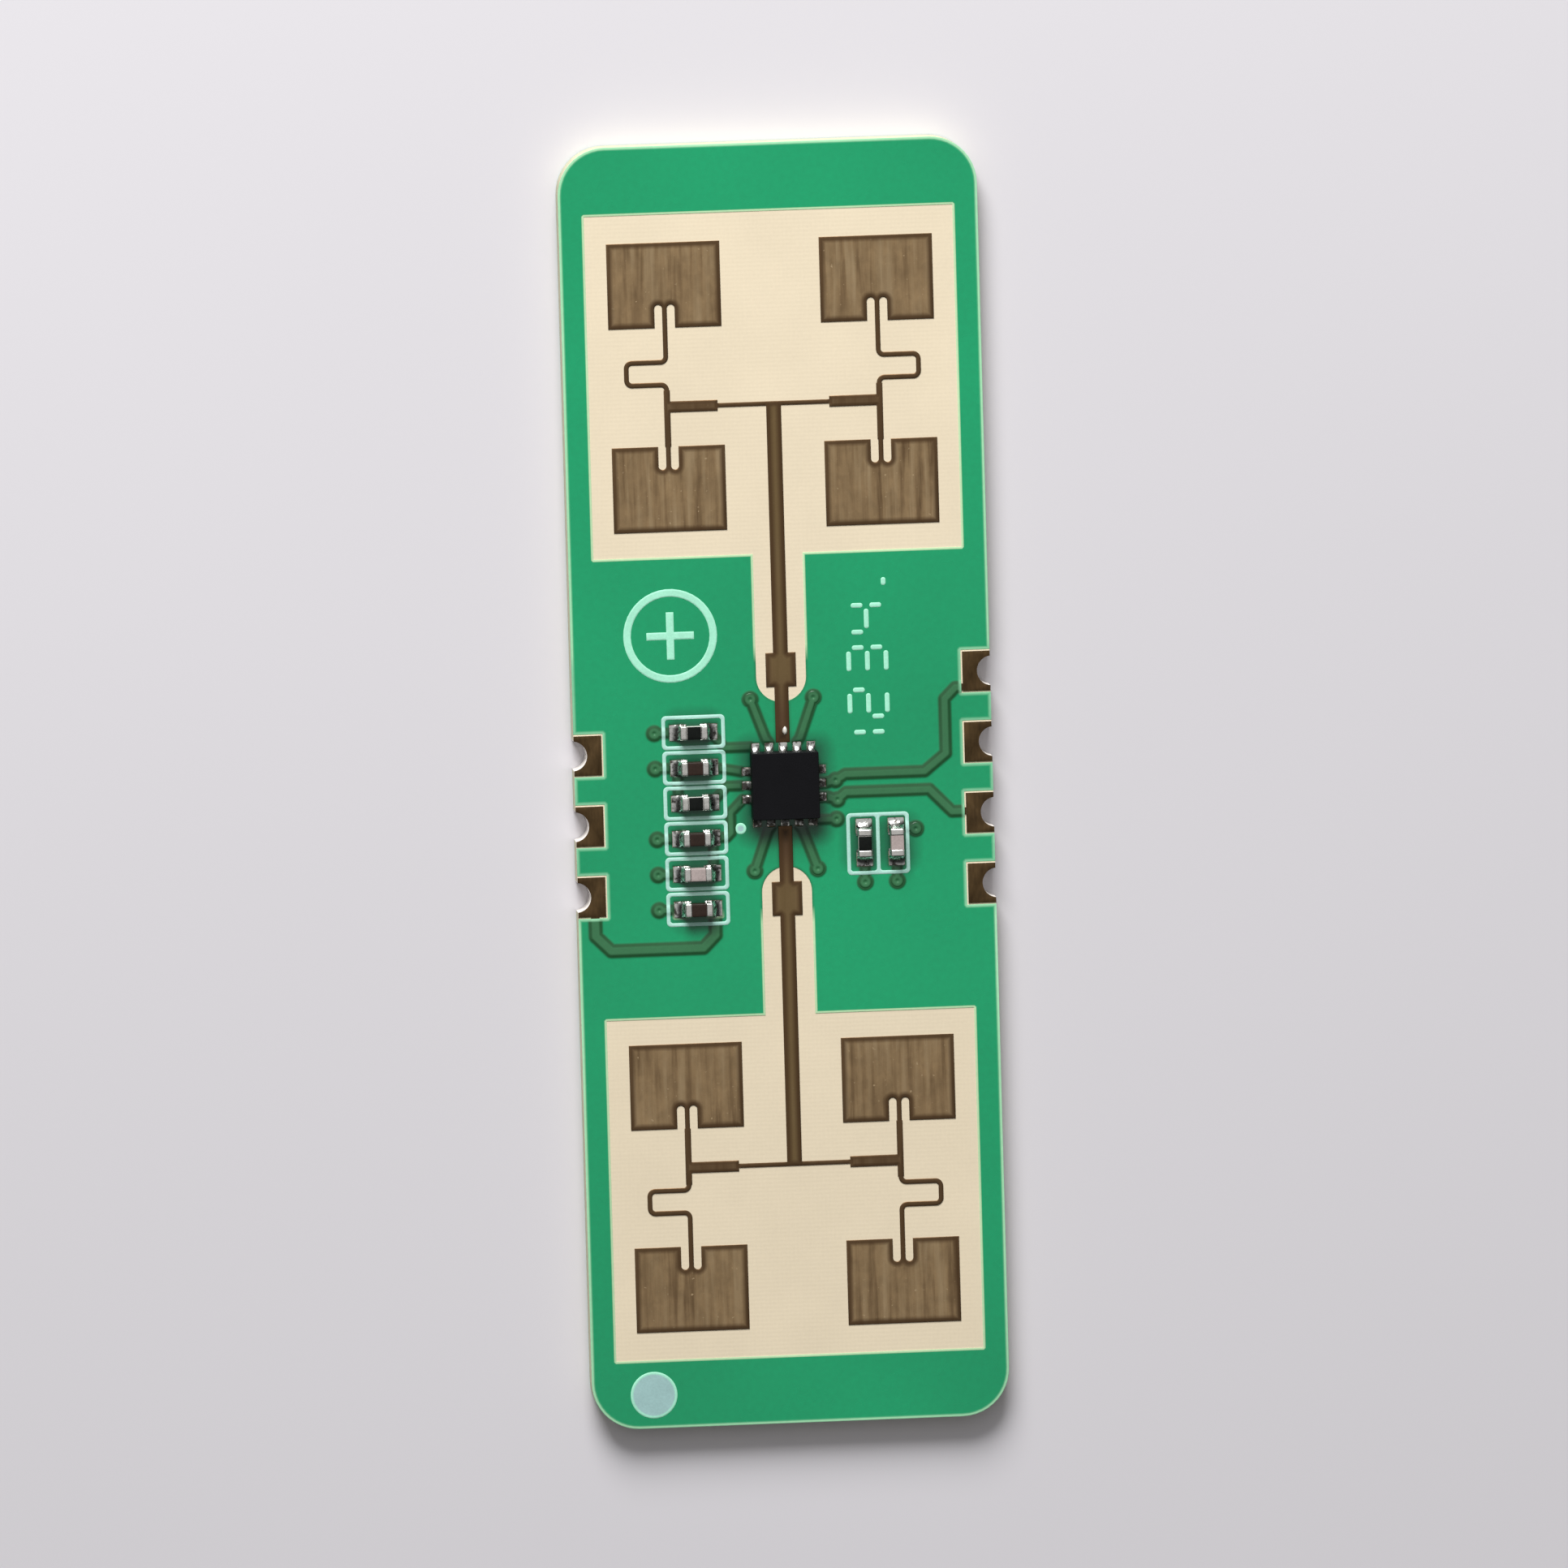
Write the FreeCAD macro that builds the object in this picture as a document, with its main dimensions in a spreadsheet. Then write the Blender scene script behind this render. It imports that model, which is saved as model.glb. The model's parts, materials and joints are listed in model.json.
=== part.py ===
"""Radar motion sensor: a bare circuit module with two patch antenna arrays and one radar chip.

The board lies flat. X runs across it, Y along it and +Z out of the side that carries the parts.
The origin is the centre of the rear face. All sizes are in millimetres.
"""
import FreeCAD, Part
import Sketcher
import os
import re

SIZES = {
    # Board outline
    "board_width": 15.0,
    "board_length": 46.0,
    "corner_radius": 1.7,
    # Layers of the board
    "mask_thickness": 0.02,
    "copper_thickness": 0.035,
    "core_thickness": 0.5,
    "bonding_thickness": 0.1,
    "laminate_thickness": 0.254,
    "legend_thickness": 0.015,
    # Distances that copper and mask keep
    "edge_pullback": 0.3,
    "rear_pad_gap": 0.16,
    "plane_gap": 0.25,
    "track_cover": 0.03,
    "pad_opening_margin": 0.05,
    "land_opening_margin": 0.01,
    # Half-hole contacts along the long edges
    "contact_pitch": 2.54,
    "first_left_contact": 1.27,
    "first_right_contact": 3.81,
    "contact_pad_depth": 1.0,
    "contact_pad_length": 1.44,
    "contact_hole_radius": 0.53,
    "contact_hole_offset": 0.06,
    "plating_thickness": 0.03,
    # Plated vias
    "via_radius": 0.13,
    "via_pad_radius": 0.2,
    # Mask windows over the antennas, and the channels along their feed lines
    "window_width": 13.2,
    "window_inner_end": 8.28,
    "window_outer_end": 20.55,
    "channel_width": 1.79,
    "channel_nose": 3.85,
    # Antenna patches and their inset feeds
    "patch_width": 4.05,
    "patch_height": 3.05,
    "patch_column": 3.805,
    "inner_patch_row": 10.72,
    "outer_patch_row": 18.02,
    "inset_depth": 0.83,
    "inset_gap": 0.28,
    # Antenna lines: column with its delay loop, combiner and feed
    "column_line_width": 0.17,
    "column_stub_width": 0.22,
    "column_top_length": 1.025,
    "loop_height": 0.81,
    "loop_reach": 1.425,
    "loop_bend_radius": 0.2,
    "combiner_rise": 1.415,
    "combiner_line_width": 0.15,
    "combiner_step_width": 0.39,
    "combiner_step_length": 1.805,
    "feed_width": 0.53,
    "matching_block_width": 1.08,
    "matching_block_length": 1.22,
    "matching_block_start": 3.5,
    "chip_feed_width": 0.5,
    # Radar chip
    "chip_width": 2.4,
    "chip_height": 0.72,
    "chip_corner_radius": 0.06,
    "chip_top_radius": 0.03,
    "lead_pitch": 0.5,
    "lead_width": 0.25,
    "lead_length": 0.35,
    "lead_thickness": 0.12,
    "lead_land_width": 0.28,
    "lead_land_start": 0.9,
    "lead_land_end": 1.5,
    "paddle_width": 1.0,
    "paddle_via_spacing": 0.6,
    "die_width": 0.8,
    "die_thickness": 0.2,
    "bond_wire_radius": 0.0125,
    "bond_wire_rise": 0.12,
    "bond_pad_inset": 0.06,
    "bond_pad_pitch": 0.17,
    "solder_thickness": 0.03,
    "lead_fillet_reach": 0.28,
    # Chip resistors and capacitors
    "part_length": 1.0,
    "part_width": 0.5,
    "resistor_height": 0.35,
    "capacitor_height": 0.5,
    "terminal_length": 0.25,
    "terminal_wall": 0.02,
    "overcoat_thickness": 0.03,
    "land_start": 0.35,
    "land_end": 0.85,
    "land_width": 0.56,
    "part_fillet_reach": 0.32,
    "fillet_rise": 0.6,
    # Places of the chip components
    "left_part_column": -3.2,
    "left_part_first_row": 1.98,
    "left_part_pitch": 1.27,
    "left_via_column": -4.6,
    "right_part_row": -2.2,
    "right_part_first_column": 2.82,
    "right_part_pitch": 1.15,
    "right_via_row": -3.62,
    "side_via_column": 4.68,
    "side_via_row": -1.77,
    # Tracks under the mask
    "signal_track_width": 0.25,
    "supply_track_width": 0.3,
    "link_track_width": 0.2,
    "stub_track_width": 0.22,
    "output_via_x": 1.85,
    "output_via_y": 0.08,
    "output_lane_row": 0.28,
    "output_lane_turn": 5.05,
    "output_lane_column": 5.83,
    "output_lane_bevel": 0.62,
    "output_lane_end": 2.85,
    "output_contact_row": 3.25,
    "tuning_via_x": 1.9,
    "tuning_via_y": -0.62,
    "tuning_lane_row": -0.37,
    "tuning_lane_turn": 5.2,
    "tuning_lane_column": 6.0,
    "tuning_contact_row": -1.2,
    "ground_via_x": 1.85,
    "ground_via_y": -1.32,
    "lane_start": 2.2,
    "supply_column": -6.9,
    "supply_row": -5.77,
    "supply_bevel": 0.55,
    "supply_turn": -3.05,
    "left_lane_start": -2.1,
    "middle_lane_start": -2.05,
    "upper_lane_row": 1.38,
    "side_lane_column": -1.95,
    "stub_via_column": 1.13,
    "stub_via_row": 3.08,
    "stub_elbow_column": 0.62,
    "stub_elbow_row": 1.66,
    # Solder bead on the upper feed line
    "bead_x": 0.08,
    "bead_y": 1.92,
    "bead_width": 0.18,
    "bead_length": 0.3,
    "bead_height": 0.07,
    "bead_corner_radius": 0.07,
    # Printed legend
    "legend_line": 0.13,
    "left_frame_width": 2.27,
    "left_frame_height": 1.22,
    "right_frame_width": 2.25,
    "right_frame_height": 2.22,
    "right_frame_x": 3.315,
    "right_frame_y": -2.25,
    "frame_corner_radius": 0.16,
    "pin_dot_x": -1.6,
    "pin_dot_y": -1.54,
    "pin_dot_radius": 0.2,
    "ring_x": -3.93,
    "ring_y": 5.46,
    "ring_radius": 1.68,
    "ring_line": 0.27,
    "ring_cross_length": 1.7,
    "code_column": 3.11,
    "code_first_row": 1.28,
    "code_pitch": 1.517,
    "code_digit_height": 1.34,
    "code_digit_width": 0.96,
    "code_long_stroke": 0.7,
    "code_short_stroke": 0.42,
    "code_line": 0.17,
    "code_point_x": 3.75,
    "code_point_y": 7.15,
    "code_point_length": 0.28,
    "corner_dot_x": -5.28,
    "corner_dot_y": -21.8,
    "corner_dot_radius": 0.84,
}

# Height of each layer's underside, from the rear mask up
REAR_COPPER = "mask_thickness"
CORE = REAR_COPPER + " + copper_thickness"
BONDING = CORE + " + core_thickness"
INNER_COPPER = BONDING + " + bonding_thickness"
LAMINATE = INNER_COPPER + " + copper_thickness"
FRONT_COPPER = LAMINATE + " + laminate_thickness"
LAND_TOP = FRONT_COPPER + " + copper_thickness"
MASK_TOP = FRONT_COPPER + " + mask_thickness"
COVER_TOP = LAND_TOP + " + mask_thickness"
PART_SEAT = LAND_TOP + " + solder_thickness"

# Rows and columns of the antenna lines, from the patches that they join
INNER_PATCH_EDGE = "inner_patch_row + patch_height / 2"
OUTER_PATCH_EDGE = "outer_patch_row - patch_height / 2"
LOOP_OUTER_ROW = f"{OUTER_PATCH_EDGE} - column_top_length - loop_bend_radius"
LOOP_INNER_ROW = f"{LOOP_OUTER_ROW} - loop_height"
LOOP_COLUMN = "patch_column + loop_reach"
COMBINER_ROW = f"{INNER_PATCH_EDGE} + combiner_rise"
COMBINER_STEP_END = "patch_column - combiner_step_length"

WORD = re.compile(r"[a-z][a-z_0-9]*")
TOUCHING = 1e-6

doc = FreeCAD.newDocument("RadarSensor")
sheet = doc.addObject("Spreadsheet::Sheet", "Sizes")
for row, (alias, number) in enumerate(SIZES.items(), 1):
    sheet.set(f"A{row}", alias)
    sheet.set(f"B{row}", str(number))
    sheet.setAlias(f"B{row}", alias)
doc.recompute()

pieces = []


def formula(text):
    """Point each named size in the text at its cell in the sheet."""
    return WORD.sub(lambda found: ("Sizes." if found[0] in SIZES else "") + found[0], text)


def bind(item, **formulas):
    """Set the item's properties from formulas of named sizes."""
    for name, text in formulas.items():
        item.setExpression(name, formula(text))
    return item


def place(item, x="0", y="0", z="0", turn="0"):
    """Place the item by formulas, turned about the vertical."""
    spot = f"placement(vector({x}; {y}; {z}); rotation(vector(0; 0; 1); {turn}))"
    return bind(item, Placement=spot)


def piece(item, label):
    """Keep the item as one sub-part of the module, under its own label."""
    item.Label = label
    pieces.append(item)
    return item


def block(name, x, y, z, length, width, height):
    """Make a box centred on x and y that stands on z."""
    item = bind(doc.addObject("Part::Box", name), Length=length, Width=width, Height=height)
    return place(item, f"{x} - ({length}) / 2", f"{y} - ({width}) / 2", z)


def disc(name, x, y, z, radius, height):
    """Make an upright cylinder that stands on z."""
    item = bind(doc.addObject("Part::Cylinder", name), Radius=radius, Height=height)
    return place(item, x, y, z)


def fuse(name, parts, tidy=True):
    """Join the parts into one shape, without the seams between them if it is kept."""
    item = doc.addObject("Part::MultiFuse", name)
    item.Shapes = parts
    item.Refine = tidy
    return item


def cut(name, base, tools):
    """Take the tools away from the base."""
    item = doc.addObject("Part::Cut", name)
    item.Base = base
    item.Tool = tools[0] if len(tools) == 1 else fuse(name + "_tools", tools, tidy=False)
    return item


def group(name, parts):
    """Hold separate solids together as one sub-part."""
    item = doc.addObject("Part::Compound", name)
    item.Links = parts
    return item


def mirror(name, source, normal):
    """Mirror the source in a plane through the origin."""
    item = doc.addObject("Part::Mirroring", name)
    item.Source = source
    item.Normal = normal
    return item


def plate(name, x, y, z, length, width, height, radius, top_radius=None):
    """Pad a centred rectangle and round its upright edges, and its top edges if asked."""
    body = doc.addObject("PartDesign::Body", name)
    sketch = body.newObject("Sketcher::SketchObject", name + "_outline")
    plane = next(part for part in body.Origin.OriginFeatures if part.Role == "XY_Plane")
    sketch.AttachmentSupport = [(plane, "")]
    sketch.MapMode = "FlatFace"
    corners = [FreeCAD.Vector(x_side, y_side, 0) for x_side, y_side in ((-1, -1), (1, -1), (1, 1), (-1, 1))]
    for side in range(4):
        sketch.addGeometry(Part.LineSegment(corners[side], corners[(side + 1) % 4]), False)
    for side in range(4):
        sketch.addConstraint(Sketcher.Constraint("Coincident", side, 2, (side + 1) % 4, 1))
        sketch.addConstraint(Sketcher.Constraint(("Horizontal", "Vertical")[side % 2], side))
    sketch.addConstraint(Sketcher.Constraint("Symmetric", 0, 1, 1, 2, -1, 1))
    across = sketch.addConstraint(Sketcher.Constraint("DistanceX", 0, 1, 0, 2, 2.0))
    along = sketch.addConstraint(Sketcher.Constraint("DistanceY", 1, 1, 1, 2, 2.0))
    sketch.setExpression(f"Constraints[{across}]", formula(length))
    sketch.setExpression(f"Constraints[{along}]", formula(width))
    tip = body.newObject("PartDesign::Pad", name + "_pad")
    tip.Profile = sketch
    bind(tip, Length=height)
    tip = round_edges(body, tip, radius, lambda edge: edge.BoundBox.ZLength > edge.BoundBox.XLength)
    if top_radius:
        doc.recompute()
        ceiling = tip.Shape.BoundBox.ZMax
        round_edges(body, tip, top_radius, lambda edge: edge.BoundBox.ZMin > ceiling - TOUCHING)
    return place(body, x, y, z)


def round_edges(body, base, radius, wanted):
    """Add a fillet on the wanted edges of the body's last feature."""
    doc.recompute()
    fillet = body.newObject("PartDesign::Fillet", base.Name + "_fillet")
    names = [f"Edge{number}" for number, edge in enumerate(base.Shape.Edges, 1) if wanted(edge)]
    fillet.Base = (base, names)
    return bind(fillet, Radius=radius)


# Where things stand on the board

LEFT_CONTACTS = [f"first_left_contact - {row} * contact_pitch" for row in range(3)]
RIGHT_CONTACTS = [f"first_right_contact - {row} * contact_pitch" for row in range(4)]
CONTACTS = [("left", -1, row) for row in LEFT_CONTACTS] + [("right", 1, row) for row in RIGHT_CONTACTS]

LEFT_ROWS = [f"left_part_first_row - {row} * left_part_pitch" for row in range(6)]
RIGHT_COLUMNS = ["right_part_first_column", "right_part_first_column + right_part_pitch"]

# Each chip component: label, kind, the axis it lies along, and its centre
COMPONENTS = [
    ("resistor_1", "resistor", "x", "left_part_column", LEFT_ROWS[0]),
    ("capacitor_1", "capacitor", "x", "left_part_column", LEFT_ROWS[1]),
    ("resistor_2", "resistor", "x", "left_part_column", LEFT_ROWS[2]),
    ("capacitor_2", "capacitor", "x", "left_part_column", LEFT_ROWS[3]),
    ("capacitor_3", "capacitor", "x", "left_part_column", LEFT_ROWS[4]),
    ("capacitor_4", "capacitor", "x", "left_part_column", LEFT_ROWS[5]),
    ("resistor_3", "resistor", "y", RIGHT_COLUMNS[0], "right_part_row"),
    ("capacitor_5", "capacitor", "y", RIGHT_COLUMNS[1], "right_part_row"),
]

# Each chip lead: the axis it points along, the side it is on, and how many pitches it is off the middle
LEADS = [("y", side, pitches) for side in (1, -1) for pitches in (-2, -1, 0, 1, 2)]
LEADS += [("x", side, pitches) for side in (1, -1) for pitches in (-1, 0, 1)]

LAND_MIDDLE = "(land_start + land_end) / 2"
LEFT_LANDS = f"left_part_column - {LAND_MIDDLE}"
INNER_LANDS = f"left_part_column + {LAND_MIDDLE}"
LOWER_LANDS = f"right_part_row - {LAND_MIDDLE}"
UPPER_LANDS = f"right_part_row + {LAND_MIDDLE}"

STUB_ENDS = [(f"({side}) * stub_via_column", f"({end}) * stub_via_row")
             for side in (-1, 1) for end in (-1, 1)]
PADDLE_VIAS = [(f"({side}) * paddle_via_spacing / 2", f"({end}) * paddle_via_spacing / 2")
               for side in (-1, 1) for end in (-1, 1)]
SIGNAL_VIAS = [("output_via_x", "output_via_y"), ("tuning_via_x", "tuning_via_y")]
GROUND_VIAS = [("left_via_column", LEFT_ROWS[row]) for row in (0, 1, 3, 4, 5)]
GROUND_VIAS += [(column, "right_via_row") for column in RIGHT_COLUMNS]
GROUND_VIAS += [("side_via_column", "side_via_row"), ("ground_via_x", "ground_via_y")] + STUB_ENDS
VIAS = SIGNAL_VIAS + GROUND_VIAS

# Each track: its width and the points of its middle line
TRACKS = {
    "output": ("signal_track_width", [
        ("lead_land_start", "0"), ("lead_land_end", "0"), ("output_via_x", "output_via_y"),
        ("lane_start", "output_lane_row"), ("output_lane_turn", "output_lane_row"),
        ("output_lane_column", "output_lane_row + output_lane_bevel"),
        ("output_lane_column", "output_lane_end"),
        ("output_lane_column + output_contact_row - output_lane_end", "output_contact_row"),
        ("board_width / 2 - contact_pad_depth", "output_contact_row")]),
    "tuning": ("signal_track_width", [
        ("lead_land_start", "-lead_pitch"), ("lead_land_end", "-lead_pitch"),
        ("tuning_via_x", "tuning_via_y"), ("lane_start", "tuning_lane_row"),
        ("tuning_lane_turn", "tuning_lane_row"),
        ("tuning_lane_column", "tuning_contact_row"),
        ("board_width / 2 - contact_pad_depth", "tuning_contact_row")]),
    "ground": ("link_track_width", [
        ("2 * lead_pitch", "-lead_land_start"), ("2 * lead_pitch", "ground_via_y"),
        ("ground_via_x", "ground_via_y")]),
    "supply": ("supply_track_width", [
        ("supply_column", f"{LEFT_CONTACTS[2]} - contact_pad_length / 2"),
        ("supply_column", "supply_row + supply_bevel"), ("supply_column + supply_bevel", "supply_row"),
        ("supply_turn", "supply_row"), (INNER_LANDS, f"supply_row + ({INNER_LANDS} - supply_turn)"),
        (INNER_LANDS, LEFT_ROWS[5])]),
    "upper_lane": ("link_track_width", [
        ("-2 * lead_pitch", "upper_lane_row"), ("left_lane_start", "upper_lane_row"),
        (INNER_LANDS, LEFT_ROWS[0])]),
    "first_lane": ("link_track_width", [
        ("-lead_land_start", "lead_pitch"), ("-lead_land_end", "lead_pitch"), (INNER_LANDS, LEFT_ROWS[1])]),
    "second_lane": ("link_track_width", [
        ("-lead_land_start", "0"), ("-lead_land_end", "0"), ("middle_lane_start", "0"),
        (INNER_LANDS, LEFT_ROWS[2])]),
    "third_lane": ("link_track_width", [
        ("-lead_land_start", "-lead_pitch"), ("-lead_land_end", "-lead_pitch"),
        ("side_lane_column", "-lead_pitch - (-lead_land_end - side_lane_column)"),
        ("side_lane_column", f"{LEFT_ROWS[3]} + (side_lane_column - left_lane_start)"),
        ("left_lane_start", LEFT_ROWS[3]), (INNER_LANDS, LEFT_ROWS[3])]),
    "lower_link": ("link_track_width", [(INNER_LANDS, LEFT_ROWS[3]), (INNER_LANDS, LEFT_ROWS[4])]),
    "upper_link": ("link_track_width", [(LEFT_LANDS, LEFT_ROWS[1]), (LEFT_LANDS, LEFT_ROWS[2])]),
    "side_link": ("link_track_width", [
        (RIGHT_COLUMNS[1], UPPER_LANDS), ("side_via_column", "side_via_row")]),
}
for number in (0, 1, 3, 4, 5):
    TRACKS[f"left_link_{number}"] = ("link_track_width", [
        (LEFT_LANDS, LEFT_ROWS[number]), ("left_via_column", LEFT_ROWS[number])])
for number, column in enumerate(RIGHT_COLUMNS):
    TRACKS[f"right_link_{number}"] = ("link_track_width", [
        (column, LOWER_LANDS), (column, "right_via_row")])
for number, (side, end) in enumerate([(-1, -1), (-1, 1), (1, -1), (1, 1)]):
    TRACKS[f"stub_{number}"] = ("stub_track_width", [
        (f"({side}) * lead_pitch", f"({end}) * lead_land_start"),
        (f"({side}) * lead_pitch", f"({end}) * lead_land_end"),
        (f"({side}) * stub_elbow_column", f"({end}) * stub_elbow_row"), STUB_ENDS[number]])


def track(name, points, width, z, height):
    """Lay a straight run between each pair of points, with a round joint at each bend."""
    parts = []
    for number, ((x1, y1), (x2, y2)) in enumerate(zip(points, points[1:])):
        run_x, run_y = f"(({x2}) - ({x1}))", f"(({y2}) - ({y1}))"
        length = f"sqrt({run_x}^2 + {run_y}^2)"
        run = doc.addObject("Part::Box", f"{name}_run_{number}")
        bind(run, Length=length, Width=width, Height=height)
        half = f"({width}) / 2"
        place(run, f"{x1} + {half} * {run_y} / {length}", f"{y1} - {half} * {run_x} / {length}", z,
              f"atan2({run_y}; {run_x})")
        parts.append(run)
    for number, (x, y) in enumerate(points[1:-1]):
        parts.append(disc(f"{name}_bend_{number}", x, y, z, f"({width}) / 2", height))
    return parts


def chip_lands(name, spread, z, height):
    """Make the copper lands under the chip, wider by the spread on each side."""
    parts = []
    middle, length = "(lead_land_start + lead_land_end) / 2", "lead_land_end - lead_land_start"
    for number, (axis, side, pitches) in enumerate(LEADS):
        x, y = lie_along(axis, "0", "0", f"({side}) * {middle}", f"({pitches}) * lead_pitch")
        along_x, along_y = sizes_along(axis, f"{length} + 2 * ({spread})",
                                       f"lead_land_width + 2 * ({spread})")
        parts.append(block(f"{name}_lead_{number}", x, y, z, along_x, along_y, height))
    paddle = f"paddle_width + 2 * ({spread})"
    parts.append(block(f"{name}_paddle", "0", "0", z, paddle, paddle, height))
    return parts


def component_lands(name, spread, z, height):
    """Make the two copper lands under each chip component, wider by the spread on each side."""
    parts = []
    length, width = f"land_end - land_start + 2 * ({spread})", f"land_width + 2 * ({spread})"
    for label, _, axis, x, y in COMPONENTS:
        for end in (-1, 1):
            land_x, land_y = lie_along(axis, x, y, f"({end}) * {LAND_MIDDLE}", "0")
            along_x, along_y = sizes_along(axis, length, width)
            parts.append(block(f"{name}_{label}_{end + 1}", land_x, land_y, z, along_x, along_y, height))
    return parts


def lie_along(axis, x, y, forward, sideways):
    """Move a point forward along the axis and sideways across it."""
    steps = (forward, sideways) if axis == "x" else (sideways, forward)
    return f"({x}) + ({steps[0]})", f"({y}) + ({steps[1]})"


def sizes_along(axis, length, width):
    """Give the sizes along x and y of something that lies along the axis."""
    return (length, width) if axis == "x" else (width, length)


def wiring(name, spread, z, height):
    """Make every track and via pad, wider by the spread on each side."""
    parts = []
    for label, (width, points) in TRACKS.items():
        parts += track(f"{name}_{label}", points, f"{width} + 2 * ({spread})", z, height)
    for number, (x, y) in enumerate(VIAS):
        parts.append(disc(f"{name}_via_pad_{number}", x, y, z, f"via_pad_radius + ({spread})", height))
    return parts


def contact_pads(name, spread, z, height):
    """Make the outline of every edge contact's pad, wider by the spread where it meets the board."""
    parts = []
    for number, (_, side, y) in enumerate(CONTACTS):
        depth = f"contact_pad_depth + ({spread})"
        parts.append(block(f"{name}_{number}", f"({side}) * (board_width - ({depth})) / 2", y, z,
                           depth, f"contact_pad_length + 2 * ({spread})", height))
    return parts


def antenna_openings(name, spread, z, height):
    """Make both mask windows with their channels, wider by the spread on each side."""
    parts = []
    stretches = [("window", "window_width", "window_inner_end", "window_outer_end"),
                 ("channel", "channel_width", "channel_nose", "window_inner_end"),
                 ("chip_feed", "chip_feed_width", "lead_land_end", "channel_nose")]
    for end in (-1, 1):
        for kind, width, start, finish in stretches:
            length = f"{finish} - {start}"
            if kind == "window":
                length += f" + 2 * ({spread})"
            parts.append(block(f"{name}_{kind}", "0", f"({end}) * ({start} + {finish}) / 2", z,
                               f"{width} + 2 * ({spread})", length, height))
        parts.append(disc(f"{name}_nose", "0", f"({end}) * channel_nose", z,
                          f"channel_width / 2 + ({spread})", height))
    return parts


def drills(name, spread):
    """Make the drilled holes through the board, wider by the spread where a plane keeps clear of them."""
    parts = []
    for number, (_, side, y) in enumerate(CONTACTS):
        radius = f"contact_hole_radius + plating_thickness + ({spread})"
        x = f"({side}) * (board_width / 2 + contact_hole_offset)"
        parts.append(disc(f"{name}_contact_{number}", x, y, "0", radius, COVER_TOP))
    for number, (x, y) in enumerate(SIGNAL_VIAS):
        parts.append(disc(f"{name}_signal_via_{number}", x, y, "0", f"via_radius + ({spread})", COVER_TOP))
    for number, (x, y) in enumerate(GROUND_VIAS + PADDLE_VIAS):
        parts.append(disc(f"{name}_ground_via_{number}", x, y, "0", "via_radius", COVER_TOP))
    return group(name, parts)


def board_blank(name, z, height, pullback="0"):
    """Make a layer's blank: the board outline, held back from the edge."""
    return plate(name + "_blank", "0", "0", z, f"board_width - 2 * ({pullback})",
                 f"board_length - 2 * ({pullback})", height, f"corner_radius - ({pullback})")


# Vias and edge contacts

BARREL_HEIGHT = f"{LAND_TOP} - ({REAR_COPPER})"
barrels = []
for number, (x, y) in enumerate(VIAS + PADDLE_VIAS):
    wall = disc(f"via_{number}_wall", x, y, REAR_COPPER, "via_radius", BARREL_HEIGHT)
    bore = disc(f"via_{number}_bore", x, y, REAR_COPPER, "via_radius - plating_thickness", BARREL_HEIGHT)
    barrels.append(cut(f"via_{number}", wall, [bore]))
plated_vias = piece(group("plated_vias", barrels), "plated_vias")


def edge_contact(label, side, y):
    """Plate a half hole on the board's edge, with a pad on each face."""
    x = f"({side}) * (board_width - contact_pad_depth) / 2"
    depth, length = "contact_pad_depth", "contact_pad_length"
    front = block(label + "_front_pad", x, y, FRONT_COPPER, depth, length, "copper_thickness")
    rear = block(label + "_rear_pad", x, y, REAR_COPPER, depth, length, "copper_thickness")
    inside = block(label + "_inside", x, y, REAR_COPPER, depth, length, BARREL_HEIGHT)
    hole_x = f"({side}) * (board_width / 2 + contact_hole_offset)"
    wall = disc(label + "_wall", hole_x, y, REAR_COPPER, "contact_hole_radius + plating_thickness",
                BARREL_HEIGHT)
    half_wall = doc.addObject("Part::Common", label + "_half_wall")
    half_wall.Base, half_wall.Tool = wall, inside
    hole = disc(label + "_hole", hole_x, y, "0", "contact_hole_radius", COVER_TOP)
    return piece(cut(label, fuse(label + "_copper", [front, rear, half_wall]), [hole]), label)


for number, (name, side, y) in enumerate(CONTACTS):
    count = number + 1 if name == "left" else number + 1 - len(LEFT_CONTACTS)
    edge_contact(f"{name}_edge_contact_{count}", side, y)


# Dielectric layers and ground planes. The bonding layer flows round the inner plane.

drill_pattern = drills("drill_pattern", "0")
plane_clearance = drills("plane_clearance", "plane_gap")

inner_blank = board_blank("inner_ground_plane", INNER_COPPER, "copper_thickness", "edge_pullback")
inner_plane = piece(cut("inner_ground_plane", inner_blank, [plane_clearance]), "inner_ground_plane")

for label, z, thickness, tools in (
        ("board_core", CORE, "core_thickness", [drill_pattern]),
        ("bonding_layer", BONDING, "bonding_thickness + copper_thickness", [drill_pattern, inner_plane]),
        ("rf_laminate", LAMINATE, "laminate_thickness", [drill_pattern])):
    piece(cut(label, board_blank(label, z, thickness), tools), label)

rear_blank = board_blank("rear_ground_plane", REAR_COPPER, "copper_thickness", "edge_pullback")
rear_gaps = contact_pads("rear_pad_gap", "rear_pad_gap", "0", COVER_TOP)
rear_plane = piece(cut("rear_ground_plane", rear_blank, rear_gaps + [plane_clearance]), "rear_ground_plane")

rear_mask_blank = board_blank("rear_solder_mask", "0", CORE)
rear_openings = contact_pads("rear_pad_opening", "0", "0", COVER_TOP)
piece(cut("rear_solder_mask", rear_mask_blank, rear_openings + [rear_plane, plated_vias]),
      "rear_solder_mask")


# Front copper and mask

wires = wiring("track", "0", FRONT_COPPER, "copper_thickness")
wires += chip_lands("chip_land", "0", FRONT_COPPER, "copper_thickness")
wires += component_lands("component_land", "0", FRONT_COPPER, "copper_thickness")
tracks_blank = fuse("signal_tracks_blank", wires)
signal_tracks = piece(cut("signal_tracks", tracks_blank, [drill_pattern]), "signal_tracks")

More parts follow.
